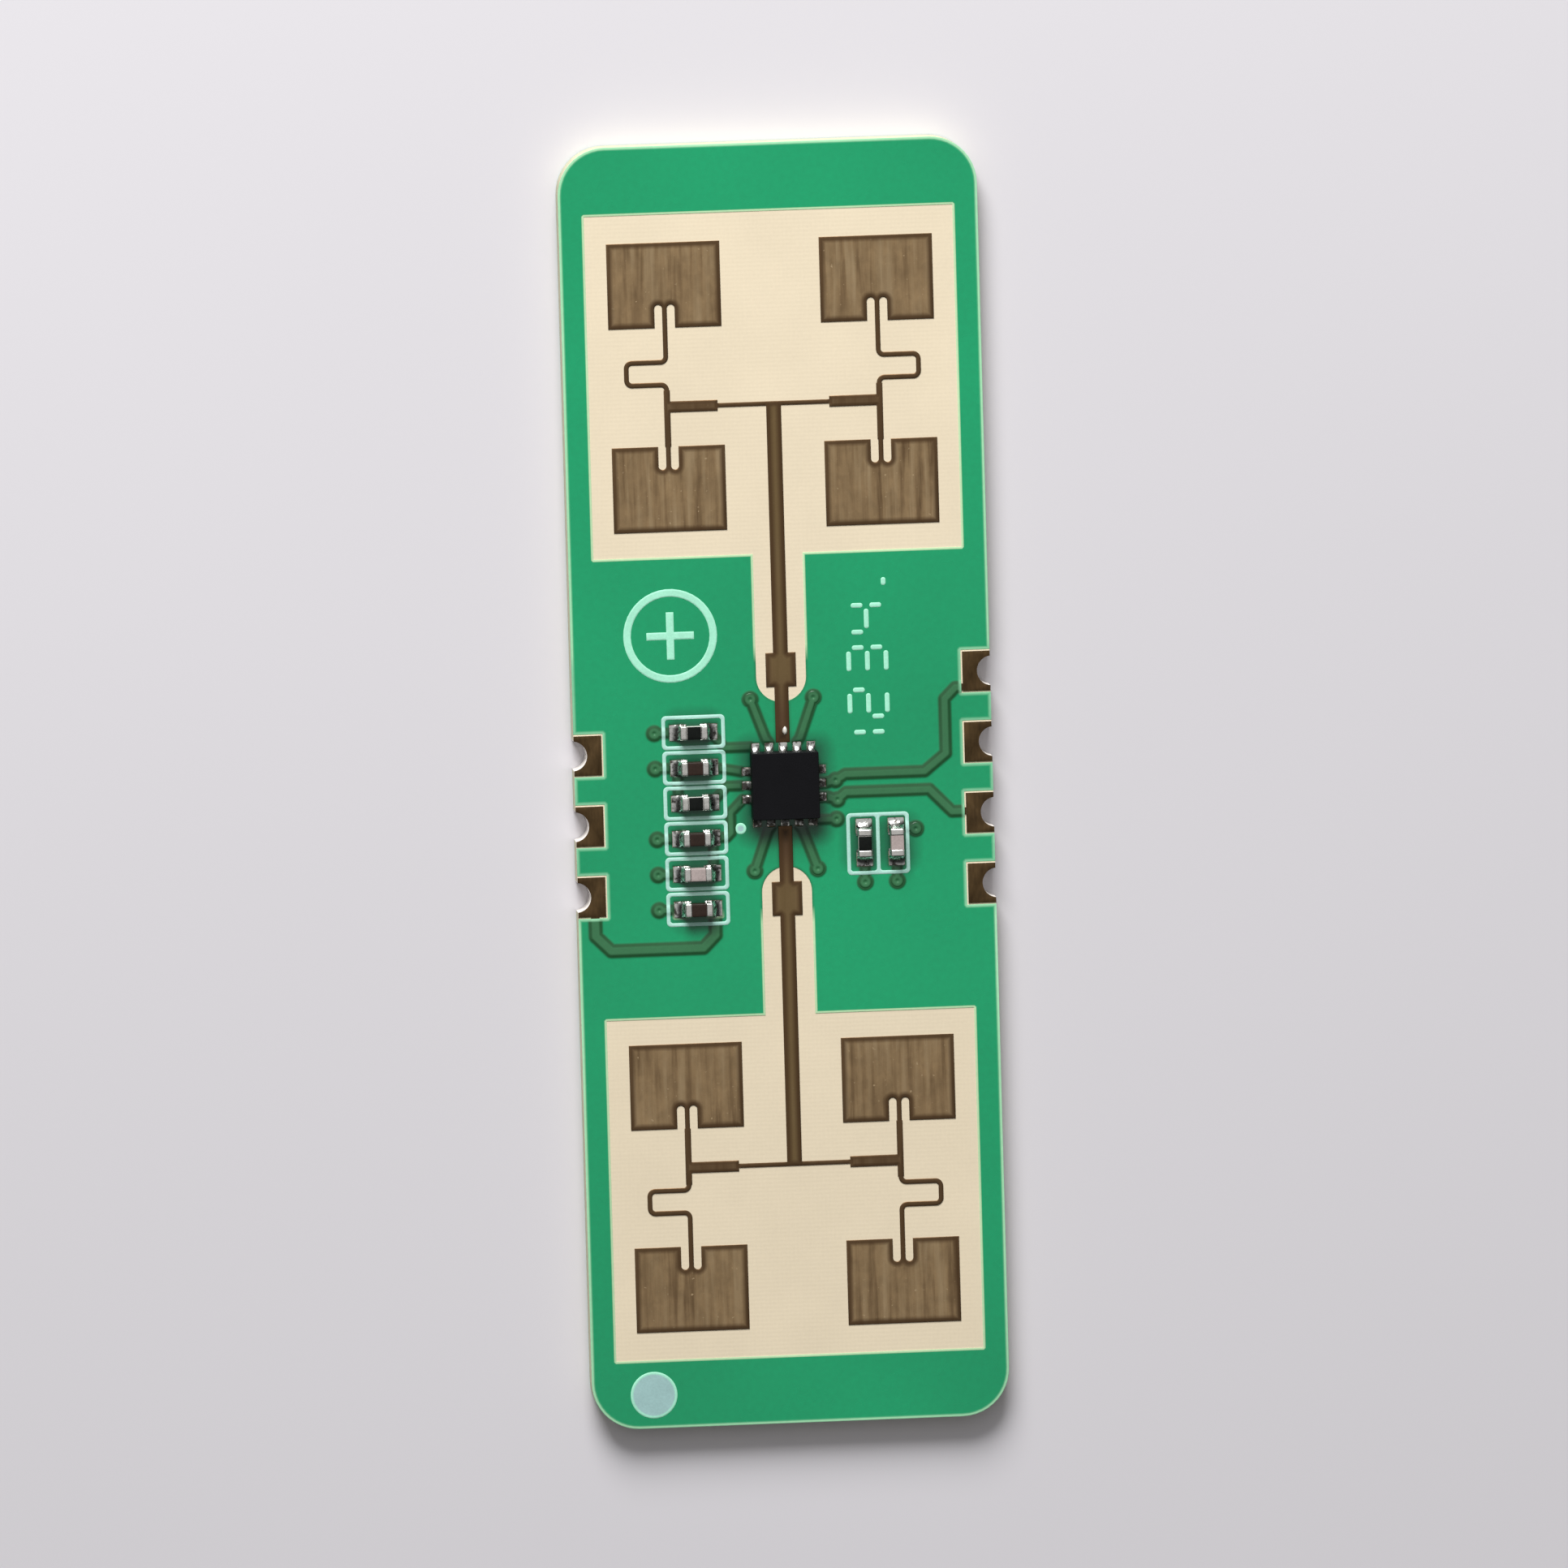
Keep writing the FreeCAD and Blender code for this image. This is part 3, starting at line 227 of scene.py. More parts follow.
# Finishes: each is one procedural material, with its textures in millimetres

# Numbers of a Mix node's colour sockets: the two that go in, and the one that comes out
MIX_FIRST, MIX_SECOND, MIX_RESULT = 6, 7, 2
# The range that most of a noise texture's values lie in
NOISE_LOW, NOISE_HIGH = 0.3, 0.7


class Nodes:
    """A node tree under construction, with short names for the nodes that it uses most."""

    def __init__(self, tree):
        self.tree = tree

    def node(self, kind, **settings):
        """Add one node and set its plain properties."""
        item = self.tree.nodes.new(kind)
        for name, value in settings.items():
            setattr(item, name, value)
        return item

    def feed(self, socket, value):
        """Join a socket to another one, or write a number or a colour into it."""
        if isinstance(value, bpy.types.NodeSocket):
            self.tree.links.new(value, socket)
        elif isinstance(value, (int, float)):
            socket.default_value = value
        else:
            value = tuple(value)
            wanted = len(socket.default_value)
            socket.default_value = value if len(value) == wanted else (*value, 1.0)

    def part(self, name, vector):
        """Return one part of a vector."""
        split = self.node("ShaderNodeSeparateXYZ")
        self.feed(split.inputs["Vector"], vector)
        return split.outputs[name]

    def remap(self, value, low, high, to_low=0.0, to_high=1.0):
        """Stretch a range of values onto another, and stop at its ends."""
        mapping = self.node("ShaderNodeMapRange")
        for name, number in zip(("Value", "From Min", "From Max", "To Min", "To Max"),
                                (value, low, high, to_low, to_high)):
            self.feed(mapping.inputs[name], number)
        return mapping.outputs["Result"]

    def math(self, operation, first, second=0.0):
        """Work out one sum of two values."""
        item = self.node("ShaderNodeMath", operation=operation)
        self.feed(item.inputs[0], first)
        self.feed(item.inputs[1], second)
        return item.outputs[0]

    def mix(self, factor, first, second):
        """Blend two colours."""
        item = self.node("ShaderNodeMix", data_type="RGBA")
        self.feed(item.inputs["Factor"], factor)
        self.feed(item.inputs[MIX_FIRST], first)
        self.feed(item.inputs[MIX_SECOND], second)
        return item.outputs[MIX_RESULT]

    def ramp(self, value, stops):
        """Look a value up in a row of colours, given as place and colour."""
        item = self.node("ShaderNodeValToRGB")
        elements = item.color_ramp.elements
        for number, (place, shade) in enumerate(stops):
            element = elements[number] if number < len(elements) else elements.new(place)
            element.position = place
            element.color = (*shade, 1.0)
        self.feed(item.inputs["Fac"], value)
        return item.outputs["Color"]


class Finish(Nodes):
    """One material under construction."""

    def __init__(self, name, base, roughness, metallic=0.0):
        self.material = bpy.data.materials.new(name)
        self.material.use_nodes = True
        super().__init__(self.material.node_tree)
        self.shader = self.tree.nodes["Principled BSDF"]
        self.spot = self.node("ShaderNodeTexCoord").outputs["Object"]
        self.last_relief = None
        self.set("Base Color", base)
        self.set("Roughness", roughness)
        self.set("Metallic", metallic)

    def set(self, name, value):
        """Set one of the shader's own sockets."""
        self.feed(self.shader.inputs[name], value)

    def spread(self, stretch=(1, 1, 1)):
        """Return the place on the part in millimetres, stretched along each axis."""
        mapping = self.node("ShaderNodeMapping")
        self.feed(mapping.inputs["Vector"], self.spot)
        self.feed(mapping.inputs["Scale"], [factor / MM for factor in stretch])
        return mapping.outputs["Vector"]

    def noise(self, scale, stretch=(1, 1, 1), detail=3.0, distortion=0.0):
        """Return cloudy noise with so many waves in a millimetre."""
        texture = self.node("ShaderNodeTexNoise")
        self.feed(texture.inputs["Vector"], self.spread(stretch))
        self.feed(texture.inputs["Scale"], scale)
        self.feed(texture.inputs["Detail"], detail)
        self.feed(texture.inputs["Distortion"], distortion)
        return texture.outputs["Fac"]

    def grains(self, scale):
        """Return the distance from the middle of each random grain."""
        texture = self.node("ShaderNodeTexVoronoi")
        self.feed(texture.inputs["Vector"], self.spread())
        self.feed(texture.inputs["Scale"], scale)
        return texture.outputs["Distance"]

    def weave(self, scale, turned=False):
        """Return the ridges of one set of threads."""
        texture = self.node("ShaderNodeTexWave", bands_direction="Y" if turned else "X")
        self.feed(texture.inputs["Vector"], self.spread())
        self.feed(texture.inputs["Scale"], scale)
        self.feed(texture.inputs["Distortion"], 0.6)
        return texture.outputs["Fac"]

    def axis(self, name):
        """Return one coordinate in millimetres."""
        return self.part(name, self.spread())

    def upward(self):
        """Return how far the surface faces up, from -1 to 1."""
        return self.part("Z", self.node("ShaderNodeNewGeometry").outputs["Normal"])

    def measure(self, name):
        """Return a measure in millimetres that is written at each point of the mesh."""
        return self.node("ShaderNodeAttribute", attribute_name=name).outputs["Fac"]

    def fade(self, name, start, end, strength):
        """Return the strength where a measure is below the start, falling to nothing at the end."""
        return self.remap(self.measure(name), start, end, strength, 0.0)

    def vary(self, value, low, high):
        """Stretch the usual range of a noise onto low to high."""
        return self.remap(value, NOISE_LOW, NOISE_HIGH, low, high)

    def tint(self, base, value, amount):
        """Darken and lighten a colour by a texture, by up to the amount."""
        item = self.node("ShaderNodeVectorMath", operation="SCALE")
        self.feed(item.inputs[0], base if isinstance(base, bpy.types.NodeSocket) else base[:3])
        self.feed(item.inputs["Scale"], self.vary(value, 1 - amount, 1 + amount))
        return item.outputs[0]

    def relief(self, value, depth):
        """Raise the surface by a texture, by up to the depth in millimetres."""
        bump = self.node("ShaderNodeBump")
        self.feed(bump.inputs["Height"], value)
        self.feed(bump.inputs["Distance"], depth * MM)
        self.feed(bump.inputs["Strength"], 1.0)
        if self.last_relief:
            self.feed(bump.inputs["Normal"], self.last_relief)
        self.last_relief = bump.outputs["Normal"]
        self.set("Normal", self.last_relief)


# Stretch over which the window fringe grows to its full strength, in millimetres
FRINGE_RISE = 0.6


def mask_finish(name, looks, covered, with_painted_shadow=False):
    """Green mask, darkest where it thins over the sides of the copper, partly as painted shade, and with
    painted shade at its openings.

    Beside the chip and the components it is darkened, partly as flux residue and partly as painted shadow
    of the parts.
    """
    finish = Finish(name, looks.mask, 0.26)
    # The shoulder tone is partly thin mask over the copper's edge and partly painted shade beside each
    # track
    onto = finish.remap(finish.measure(COPPER_DEPTH), -looks.shoulder_out / MM, looks.shoulder_in / MM)
    tone = finish.ramp(onto, [(0.0, looks.mask), (0.4, looks.shoulder), (0.7, looks.shoulder),
                              (1.0, covered)])
    # Painted shade: beside each opening the mask is darkened towards the shoulder tone, standing in for
    # the shadow at the mask's edge
    shade = finish.fade(OPENING_DEPTH, 0.0, looks.opening_shade / MM, 0.45)
    tone = finish.mix(shade, tone, looks.shoulder)
    if with_painted_shadow:
        tone = fringe_and_painted_shadow(finish, looks, tone)
    # Partly painted highlight: the mask is paler along the board's outline, where it thins and where light
    # catches the edge
    width = looks.verge_highlight_width / MM
    tone = finish.mix(finish.fade(OUTLINE_DEPTH, 0.3 * width, width, 0.75), tone, looks.verge_and_highlight)
    tone = finish.tint(tone, finish.noise(0.08, detail=2.0), 0.11)
    tone = finish.tint(tone, finish.noise(5.0, detail=5.0), 0.035)
    finish.set("Base Color", tone)
    finish.set("Roughness", finish.vary(finish.noise(0.6), 0.22, 0.3))
    finish.relief(finish.noise(2.6, detail=3.0), 0.0016)
    finish.relief(finish.grains(14.0), 0.0008)
    return finish.material


def fringe_and_painted_shadow(finish, looks, tone):
    """Add the pale fringe along the antenna windows, and the flux residue and painted shadow beside the
    parts.
    """
    width, start = looks.fringe_width / MM, looks.fringe_start / MM
    fringe = finish.fade(OPENING_DEPTH, 0.6 * width, width, 0.8)
    away = finish.remap(finish.math("ABSOLUTE", finish.axis("Y")), start, start + FRINGE_RISE)
    tone = finish.mix(finish.math("MULTIPLY", fringe, away), tone, looks.fringe)
    # Painted shadow with some flux: the mask darkens towards each part, and further below the chip
    flux_and_painted_shadow = finish.fade(PART_DISTANCE, 0.0, looks.painted_shadow_reach / MM, looks.painted_shadow_depth)
    return finish.mix(flux_and_painted_shadow, tone, looks.flux_and_painted_shadow)


def laminate_finish(looks):
    """Cream ceramic-filled laminate with the faint print of its glass cloth."""
    finish = Finish("cream_laminate", looks.laminate, 0.62)
    tone = finish.tint(looks.laminate, finish.noise(0.35, detail=3.0), 0.025)
    tone = finish.tint(tone, finish.noise(11.0, detail=5.0), 0.018)
    cut_edge = finish.remap(finish.math("ABSOLUTE", finish.upward()), 0.6, 0.3)
    streaks = finish.noise(3.0, stretch=(1.0, 1.0, 22.0))
    tone = finish.mix(cut_edge, tone, finish.tint([0.9 * part for part in looks.laminate], streaks, 0.12))
    finish.set("Base Color", tone)
    finish.set("Specular IOR Level", 0.3)
    finish.relief(finish.weave(2.1), 0.0008)
    finish.relief(finish.weave(2.1, turned=True), 0.0008)
    finish.relief(finish.noise(16.0, detail=4.0), 0.0006)
    return finish.material


def fibre_finish(looks):
    """Routed edge of the board: pale resin with glass threads that run along it."""
    finish = Finish("cut_glass_fibre", looks.fibre, 0.72)
    threads = finish.noise(2.2, stretch=(1.0, 1.0, 18.0), detail=5.0, distortion=0.4)
    tone = finish.tint(looks.fibre, threads, 0.16)
    tone = finish.tint(tone, finish.noise(9.0, detail=4.0), 0.06)
    finish.set("Base Color", tone)
    finish.relief(threads, 0.008)
    finish.relief(finish.noise(22.0, detail=4.0), 0.003)
    return finish.material


# How the tones of the antenna copper blend: from and to this far beside the middle for the feed, over
# these stretches towards the chip for the red tone and for the stain with its painted shadow, and up to
# this strength
FEED_FROM, FEED_TO = 0.75, 0.25
WARM_BLEND, STAIN_AND_SHADE_BLEND = 1.4, 0.5
TONE_STRENGTH = 0.85


def antenna_finish(looks):
    """Brown protective finish on copper: brushed up the board, dark at its edges, redder near the chip,
    and darkened beside the chip by flux stain and painted shadow.
    """
    finish = Finish("antenna_copper", looks.patch, 0.4, metallic=0.8)
    lines = finish.noise(1.0, stretch=(3.4, 0.2, 1.0), detail=5.0, distortion=0.2)
    brushing = finish.remap(finish.noise(0.3, detail=2.0), 0.35, 0.65, 0.4, 1.0)
    tone = finish.tint(looks.patch, finish.noise(0.9, detail=4.0, distortion=0.6), 0.12)
    tone = finish.tint(tone, finish.noise(4.0, stretch=(1.0, 0.6, 1.0), detail=5.0, distortion=0.5), 0.1)
    pale = finish.math("MULTIPLY", finish.remap(lines, 0.5, 0.68), brushing)
    dark = finish.math("MULTIPLY", finish.remap(lines, 0.48, 0.34), brushing)
    tone = finish.mix(finish.math("MULTIPLY", pale, 0.7), tone, looks.streak)
    tone = finish.mix(finish.math("MULTIPLY", dark, 0.7), tone, looks.outline)
    tone = finish.mix(finish.remap(finish.noise(7.0, detail=2.0), 0.7, 0.76), tone, looks.streak)
    aside = finish.math("ABSOLUTE", finish.axis("X"))
    tone = finish.mix(finish.remap(aside, FEED_FROM, FEED_TO, 0.0, TONE_STRENGTH), tone, looks.feed)
    away = finish.math("ABSOLUTE", finish.axis("Y"))
    reach = looks.warm_reach / MM
    tone = finish.mix(finish.remap(away, reach, reach - WARM_BLEND, 0.0, TONE_STRENGTH), tone, looks.warm)
    # Painted shadow with some flux stain: the feed is darkened beside the chip, where the chip's shadow
    # falls
    clean = node_box("chip_body")[1].y + looks.stain_and_shade_reach / MM
    stain_and_shade = finish.remap(away, clean, clean - STAIN_AND_SHADE_BLEND, 0.0, TONE_STRENGTH)
    tone = finish.mix(stain_and_shade, tone, looks.stain_and_shade)
    # Darken a band along each antenna's edge
    width = looks.outline_width / MM
    rim = finish.fade(EDGE_DEPTH, 0.4 * width, width, 0.9)
    finish.set("Base Color", finish.mix(rim, tone, looks.outline))
    finish.set("Roughness", finish.vary(lines, 0.5, 0.36))
    finish.relief(lines, 0.003)
    finish.relief(finish.noise(14.0, detail=4.0), 0.0015)
    return finish.material


def contact_finish(looks):
    """Edge contact: brown finish on the pads, bright plating on the walls of the half hole."""
    finish = Finish("edge_contact_copper", looks.contact, 0.38, metallic=0.85)
    lines = finish.noise(1.0, stretch=(9.0, 2.2, 1.0), detail=5.0)
    pad = finish.tint(looks.contact, lines, 0.22)
    pad = finish.tint(pad, finish.noise(1.6, detail=3.0), 0.16)
    wall = finish.tint(looks.wall, finish.noise(5.0, stretch=(1.0, 1.0, 0.4)), 0.12)
    level = finish.remap(finish.math("ABSOLUTE", finish.upward()), 0.45, 0.8)
    finish.set("Base Color", finish.mix(level, wall, pad))
    finish.set("Metallic", finish.remap(level, 0.0, 1.0, 0.1, 0.85))
    finish.set("Roughness", finish.remap(level, 0.0, 1.0, 0.38, 0.42))
    finish.relief(lines, 0.003)
    return finish.material


def foil_finish(name, base):
    """Etched copper foil under the mask and inside the board."""
    finish = Finish(name, base, 0.42, metallic=1.0)
    finish.set("Base Color", finish.tint(base, finish.noise(3.0, detail=5.0), 0.14))
    finish.set("Roughness", finish.vary(finish.noise(7.0), 0.34, 0.52))
    finish.relief(finish.noise(24.0, detail=3.0), 0.0015)
    return finish.material


def mould_finish(looks):
    """Black moulding compound with its fine filler grain."""
    finish = Finish("moulding_compound", looks.mould, 0.55)
    grain = finish.noise(26.0, detail=4.0)
    tone = finish.tint(looks.mould, grain, 0.25)
    tone = finish.tint(tone, finish.noise(1.1, detail=2.0), 0.12)
    finish.set("Base Color", tone)
    finish.set("Specular IOR Level", 0.12)
    finish.set("Roughness", finish.vary(grain, 0.5, 0.66))
    finish.relief(grain, 0.003)
    finish.relief(finish.grains(34.0), 0.0015)
    return finish.material


def metal_finish(name, base, shine, waves, depth, metallic=1.0):
    """Plated or drawn metal with a slightly uneven skin."""
    finish = Finish(name, base, shine, metallic=metallic)
    skin = finish.noise(waves, detail=4.0)
    finish.set("Base Color", finish.tint(base, skin, 0.08))
    finish.set("Roughness", finish.vary(skin, shine - 0.07, shine + 0.1))
    finish.relief(skin, depth)
    finish.relief(finish.noise(waves * 5, detail=3.0), depth * 0.3)
    return finish.material


def solder_finish(name, looks, clean):
    """Reflowed solder, of which a share is left clean and bright, and flux dulls the rest."""
    finish = Finish(name, looks.solder, 0.2, metallic=1.0)
    stains = finish.noise(5.5, detail=4.0, distortion=0.5)
    stain_and_shade = finish.remap(stains, clean, clean + 0.12, 0.0, 0.9)
    tone = finish.tint(looks.solder, finish.noise(9.0, detail=3.0), 0.1)
    finish.set("Base Color", finish.mix(stain_and_shade, tone, looks.flux))
    finish.set("Roughness", finish.remap(stain_and_shade, 0.0, 1.0, 0.16, 0.5))
    finish.relief(finish.noise(6.0, detail=3.0, distortion=0.4), 0.012)
    return finish.material


def ceramic_finish(name, base, roughness, speckle):
    """Sintered ceramic with fine speckles and small pits."""
    finish = Finish(name, base, roughness)
    finish.set("Specular IOR Level", 0.3)
    grain = finish.noise(18.0, detail=5.0)
    tone = finish.tint(base, grain, speckle)
    tone = finish.tint(tone, finish.noise(2.4, detail=3.0), speckle * 0.8)
    finish.set("Base Color", tone)
    finish.set("Roughness", finish.vary(grain, roughness - 0.08, roughness + 0.1))
    finish.relief(grain, 0.003)
    finish.relief(finish.grains(22.0), 0.0015)
    return finish.material


def glass_finish(looks):
    """Dark glass printed over a resistor, smooth and a little wavy."""
    finish = Finish("resistor_glass", looks.glass, 0.16)
    finish.set("Specular IOR Level", 0.2)
    finish.set("Base Color", finish.tint(looks.glass, finish.noise(7.0, detail=3.0), 0.3))
    finish.set("Roughness", finish.vary(finish.noise(12.0), 0.14, 0.3))
    finish.relief(finish.noise(4.0, detail=3.0), 0.006)
    return finish.material


def ink_finish(name, looks, base, edge):
    """Screen-printed ink with the small voids that the mesh leaves, and its own tone along its edges."""
    finish = Finish(name, base, 0.5)
    specks = finish.noise(13.0, detail=4.0)
    width = looks.dot_rim / MM
    rim = finish.fade(EDGE_DEPTH, 0.5 * width, width, 1.0)
    tone = finish.tint(finish.mix(rim, base, edge), specks, 0.05)
    tone = finish.tint(tone, finish.noise(1.4, detail=3.0), 0.05)
    finish.set("Base Color", tone)
    finish.set("Specular IOR Level", 0.35)
    finish.set("Roughness", finish.vary(specks, 0.42, 0.6))
    finish.relief(specks, 0.003)
    return finish.material


# Flat regions of the board, read from the solids

def smooth(value):
    """Ease a value from 0 to 1, and stop at both ends."""
    value = min(max(value, 0.0), 1.0)
    return value * value * (3 - 2 * value)


def level_sheet(node, heights):
    """Flatten the node's level faces at the given heights into one sheet, in millimetres."""
    sheet = bmesh.new()
    mesh = frame["nodes"][node].data
    for face in mesh.polygons:
        height = face.center.z / MM
        if abs(face.normal.z) > 0.99 and any(abs(height - level) < LEVEL for level in heights):
            corners = [mesh.vertices[number].co / MM for number in face.vertices]
            sheet.faces.new([sheet.verts.new((corner.x, corner.y, 0.0)) for corner in corners])
    bmesh.ops.remove_doubles(sheet, verts=sheet.verts[:], dist=WELD)
    return sheet


def loop_sheet(loops):
    """Fill each closed loop of points with one face, in millimetres."""
    sheet = bmesh.new()
    for loop in loops:
        sheet.faces.new([sheet.verts.new((x, y, 0.0)) for x, y in loop])
    return sheet


def follow_edges(sheet):
    """Follow the sheet's outer edges round into closed loops of points, lowest edge first."""
    sheet.edges.index_update()
    free = {edge.index for edge in sheet.edges if len(edge.link_faces) == 1}
    sheet.edges.ensure_lookup_table()
    loops = []
    while free:
        edge = sheet.edges[min(free)]
        free.remove(edge.index)
        first, here = edge.verts
        loop = [first.co.xy.copy()]
        while here is not first:
            loop.append(here.co.xy.copy())
            edge = next((other for other in here.link_edges if other.index in free), None)
            if edge is None:
                break
            free.remove(edge.index)
            here = edge.other_vert(here)
        loops.append(loop)
    return loops


class Region:
    """A flat region: its closed outlines, and how far a point lies inside it."""

    def __init__(self, sheet):
        self.loops = follow_edges(sheet)
        self.floor = BVHTree.FromBMesh(sheet)
        sheet.free()
        corners, walls = [], []
        for loop in self.loops:
            for start, end in zip(loop, loop[1:] + loop[:1]):
                first = len(corners)
                corners += [(*start, -1), (*end, -1), (*end, 1), (*start, 1)]
                walls.append(range(first, first + 4))
        self.walls = BVHTree.FromPolygons(corners, walls)

    def holds(self, x, y):
        """Say whether the point lies in the region."""
        return self.floor.ray_cast(Vector((x, y, 1)), Vector((0, 0, -1)))[0] is not None

    def depth(self, x, y):
        """Return the distance to the outline, less than 0 outside the region."""
        distance = self.walls.find_nearest(Vector((x, y, 0)))[3]
        return distance if self.holds(x, y) else -distance

    def rings(self, depth):
        """Return the lines that lie at the given depth, as pairs of points."""
        pairs = []
        for loop in self.loops:
            moved = self.shift(loop, depth)
            for start, end in zip(moved, moved[1:] + moved[:1]):
                pairs += self.true_stretches(start, end, depth)
        return pairs

    def true_stretches(self, start, end, depth):
        """Return the stretches of a moved side that do lie at the depth."""
        count = max(1, math.ceil((end - start).length / RING_STEP))
        stops = [start.lerp(end, number / count) for number in range(count + 1)]
        good = [abs(self.depth(*stop) - depth) < 0.1 * abs(depth) + LEVEL for stop in stops]
        if all(good):
            return [(start, end)]
        return [(stops[n], stops[n + 1]) for n in range(count) if good[n] and good[n + 1]]

    def shift(self, loop, depth):
        """Move each corner of the loop into the region, along the line that halves it."""
        sides = [(after - here).normalized() for here, after in zip(loop, loop[1:] + loop[:1])]
        inward = [Vector((-side.y, side.x)) for side in sides]
        middle = (loop[0] + loop[1]) / 2
        if not self.holds(*(middle + INWARD_STEP * inward[0])):
            inward = [-normal for normal in inward]
        moved = []
        for number, point in enumerate(loop):
            before, here = inward[number - 1], inward[number]
            moved.append(point + depth * (before + here) / max(1 + before.dot(here), MITRE_LIMIT))
        return moved


def rounded_loop(low, high, radius, steps=6):
    """Return the outline of a rectangle with rounded corners."""
    radius = min(radius, (high.x - low.x) / 2 - WELD, (high.y - low.y) / 2 - WELD)
    loop = []
    for corner, (x, y) in enumerate([(high.x - radius, high.y - radius), (low.x + radius, high.y - radius),
                                     (low.x + radius, low.y + radius), (high.x - radius, low.y + radius)]):
        for step in range(steps + 1):
            turn = math.tau / 4 * (corner + step / steps)
            loop.append((x + radius * math.cos(turn), y + radius * math.sin(turn)))
    return loop


def fill_region(region, extra_lines=()):
    """Cut the region into triangles that keep to its outline and to the extra lines."""
    points, edges = [], []
    for loop in region.loops:
        first, count = len(points), len(loop)
        points += loop
        edges += [(first + number, first + (number + 1) % count) for number in range(count)]
    for start, end in extra_lines:
        edges.append((len(points), len(points) + 1))
        points += [start, end]
    points, _, faces, *_ = delaunay_2d_cdt(points, edges, [], 0, WELD / 2, False)
    kept = [face for face in faces if region.holds(*(sum((points[n] for n in face), Vector((0, 0))) / 3))]
    return points, kept


def shell_faces(upper, count):
    """Add walls and an underside to an upper surface, whose corners come again, count places later."""
    sides = {(face[n - 1], face[n]) for face in upper for n in range(len(face))}
    walls = [(a, a + count, b + count, b) for a, b in sorted(sides) if (b, a) not in sides]
    lower = [tuple(number + count for number in reversed(face)) for face in upper]
    return upper + walls + lower


def closed_shell(points, faces, top, bottom):
    """Stand a flat mesh up: one surface at each point's top, one at its bottom, and walls between."""
    used = sorted({number for face in faces for number in face})
    place = {number: index for index, number in enumerate(used)}
    count = len(used)
    corners = [(points[n][0], points[n][1], top(*points[n])) for n in used]
    corners += [(points[n][0], points[n][1], bottom(*points[n])) for n in used]
    upper = [tuple(place[number] for number in face) for face in faces]
    return corners, shell_faces(upper, count)


def flat(height):
    """Return a surface that has the same height everywhere."""
    return lambda x, y: height


# Pieces

def dress(finish, *nodes):
    """Give carried-over solids their finish."""
    for node in nodes:
        for slot in frame["nodes"][node].material_slots:
            slot.material = finish


def nodes_ending(ending):
    """Return the names of the solids that end so, in order."""
    return sorted(node for node in frame["nodes"] if node.endswith(ending))


def make_mesh(name, corners, faces, finish, measures=None):
    """Write corners in millimetres and faces to a new mesh, welded, and smooth except at sharp edges.

    Each measure is worked out at every corner and kept with the mesh, for its finish.
    """
    mesh = bpy.data.meshes.new(name)
    mesh.from_pydata([Vector(corner) * MM for corner in corners], [], faces)
    mesh.materials.append(finish)
    for title, measure in (measures or {}).items():
        values = [min(max(measure(x, y), -MEASURE_REACH), MEASURE_REACH) for x, y, _ in corners]
        mesh.attributes.new(title, "FLOAT", "POINT").data.foreach_set("value", values)
    mesh.validate()
    shape = bmesh.new()
    shape.from_mesh(mesh)
    bmesh.ops.remove_doubles(shape, verts=shape.verts[:], dist=WELD * MM)
    bmesh.ops.recalc_face_normals(shape, faces=shape.faces[:])
    shape.to_mesh(mesh)
    shape.free()
    mesh.shade_smooth()
    mesh.set_sharp_from_angle(angle=SHARP_ANGLE)
    return mesh


def add_piece(name, mesh, nodes, slot):
    """Put a mesh on the module in place of the solids that it dresses."""
    piece = bpy.data.objects.new(name, mesh)
    bpy.context.scene.collection.objects.link(piece)
    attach(piece, "root")
    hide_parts(*nodes)
    return piece


def join_parts(parts):
    """Put the corners and faces of several shapes into one list."""
    corners, faces = [], []
    for part_corners, part_faces in parts:
        start = len(corners)
        corners += part_corners
        faces += [tuple(number + start for number in face) for face in part_faces]
    return corners, faces


def solid_boxes(node):
    """Return the lowest and highest corner of each separate solid in the node, in millimetres."""
    shape = bmesh.new()
    shape.from_mesh(frame["nodes"][node].data)
    bmesh.ops.remove_doubles(shape, verts=shape.verts[:], dist=WELD * MM)
    left, boxes = set(shape.verts), []
    while left:
        group, edge_of_group = set(), [left.pop()]
        while edge_of_group:
            vertex = edge_of_group.pop()
            group.add(vertex)
            near = {edge.other_vert(vertex) for edge in vertex.link_edges} & left
            left -= near
            edge_of_group += near
        columns = list(zip(*(vertex.co / MM for vertex in group)))
        boxes.append((Vector(map(min, columns)), Vector(map(max, columns))))
    shape.free()
    return sorted(boxes, key=lambda box: tuple(box[0]))


def node_box(node):
    """Return the node's lowest and highest corner in millimetres."""
    low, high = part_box(node)
    return low / MM, high / MM


def soft_block(low, high, rounding, cuts=3):
    """Return a block with rounded edges, divided so that its faces can bulge."""
    shape = bmesh.new()
    middle, size = (low + high) / 2, high - low
    bmesh.ops.create_cube(shape, size=1.0)
    bmesh.ops.scale(shape, vec=size, verts=shape.verts[:])
    bmesh.ops.translate(shape, vec=middle, verts=shape.verts[:])
    bmesh.ops.subdivide_edges(shape, edges=shape.edges[:], cuts=cuts, use_grid_fill=True)
    sharp = [edge for edge in shape.edges if edge.calc_face_angle() > SHARP_ANGLE]
    bmesh.ops.bevel(shape, geom=sharp, offset=rounding, segments=4, profile=0.5, affect="EDGES",
                    clamp_overlap=True)
    corners = [vertex.co.copy() for vertex in shape.verts]
    shape.verts.index_update()
    faces = [tuple(vertex.index for vertex in face.verts) for face in shape.faces]
    shape.free()
    return corners, faces


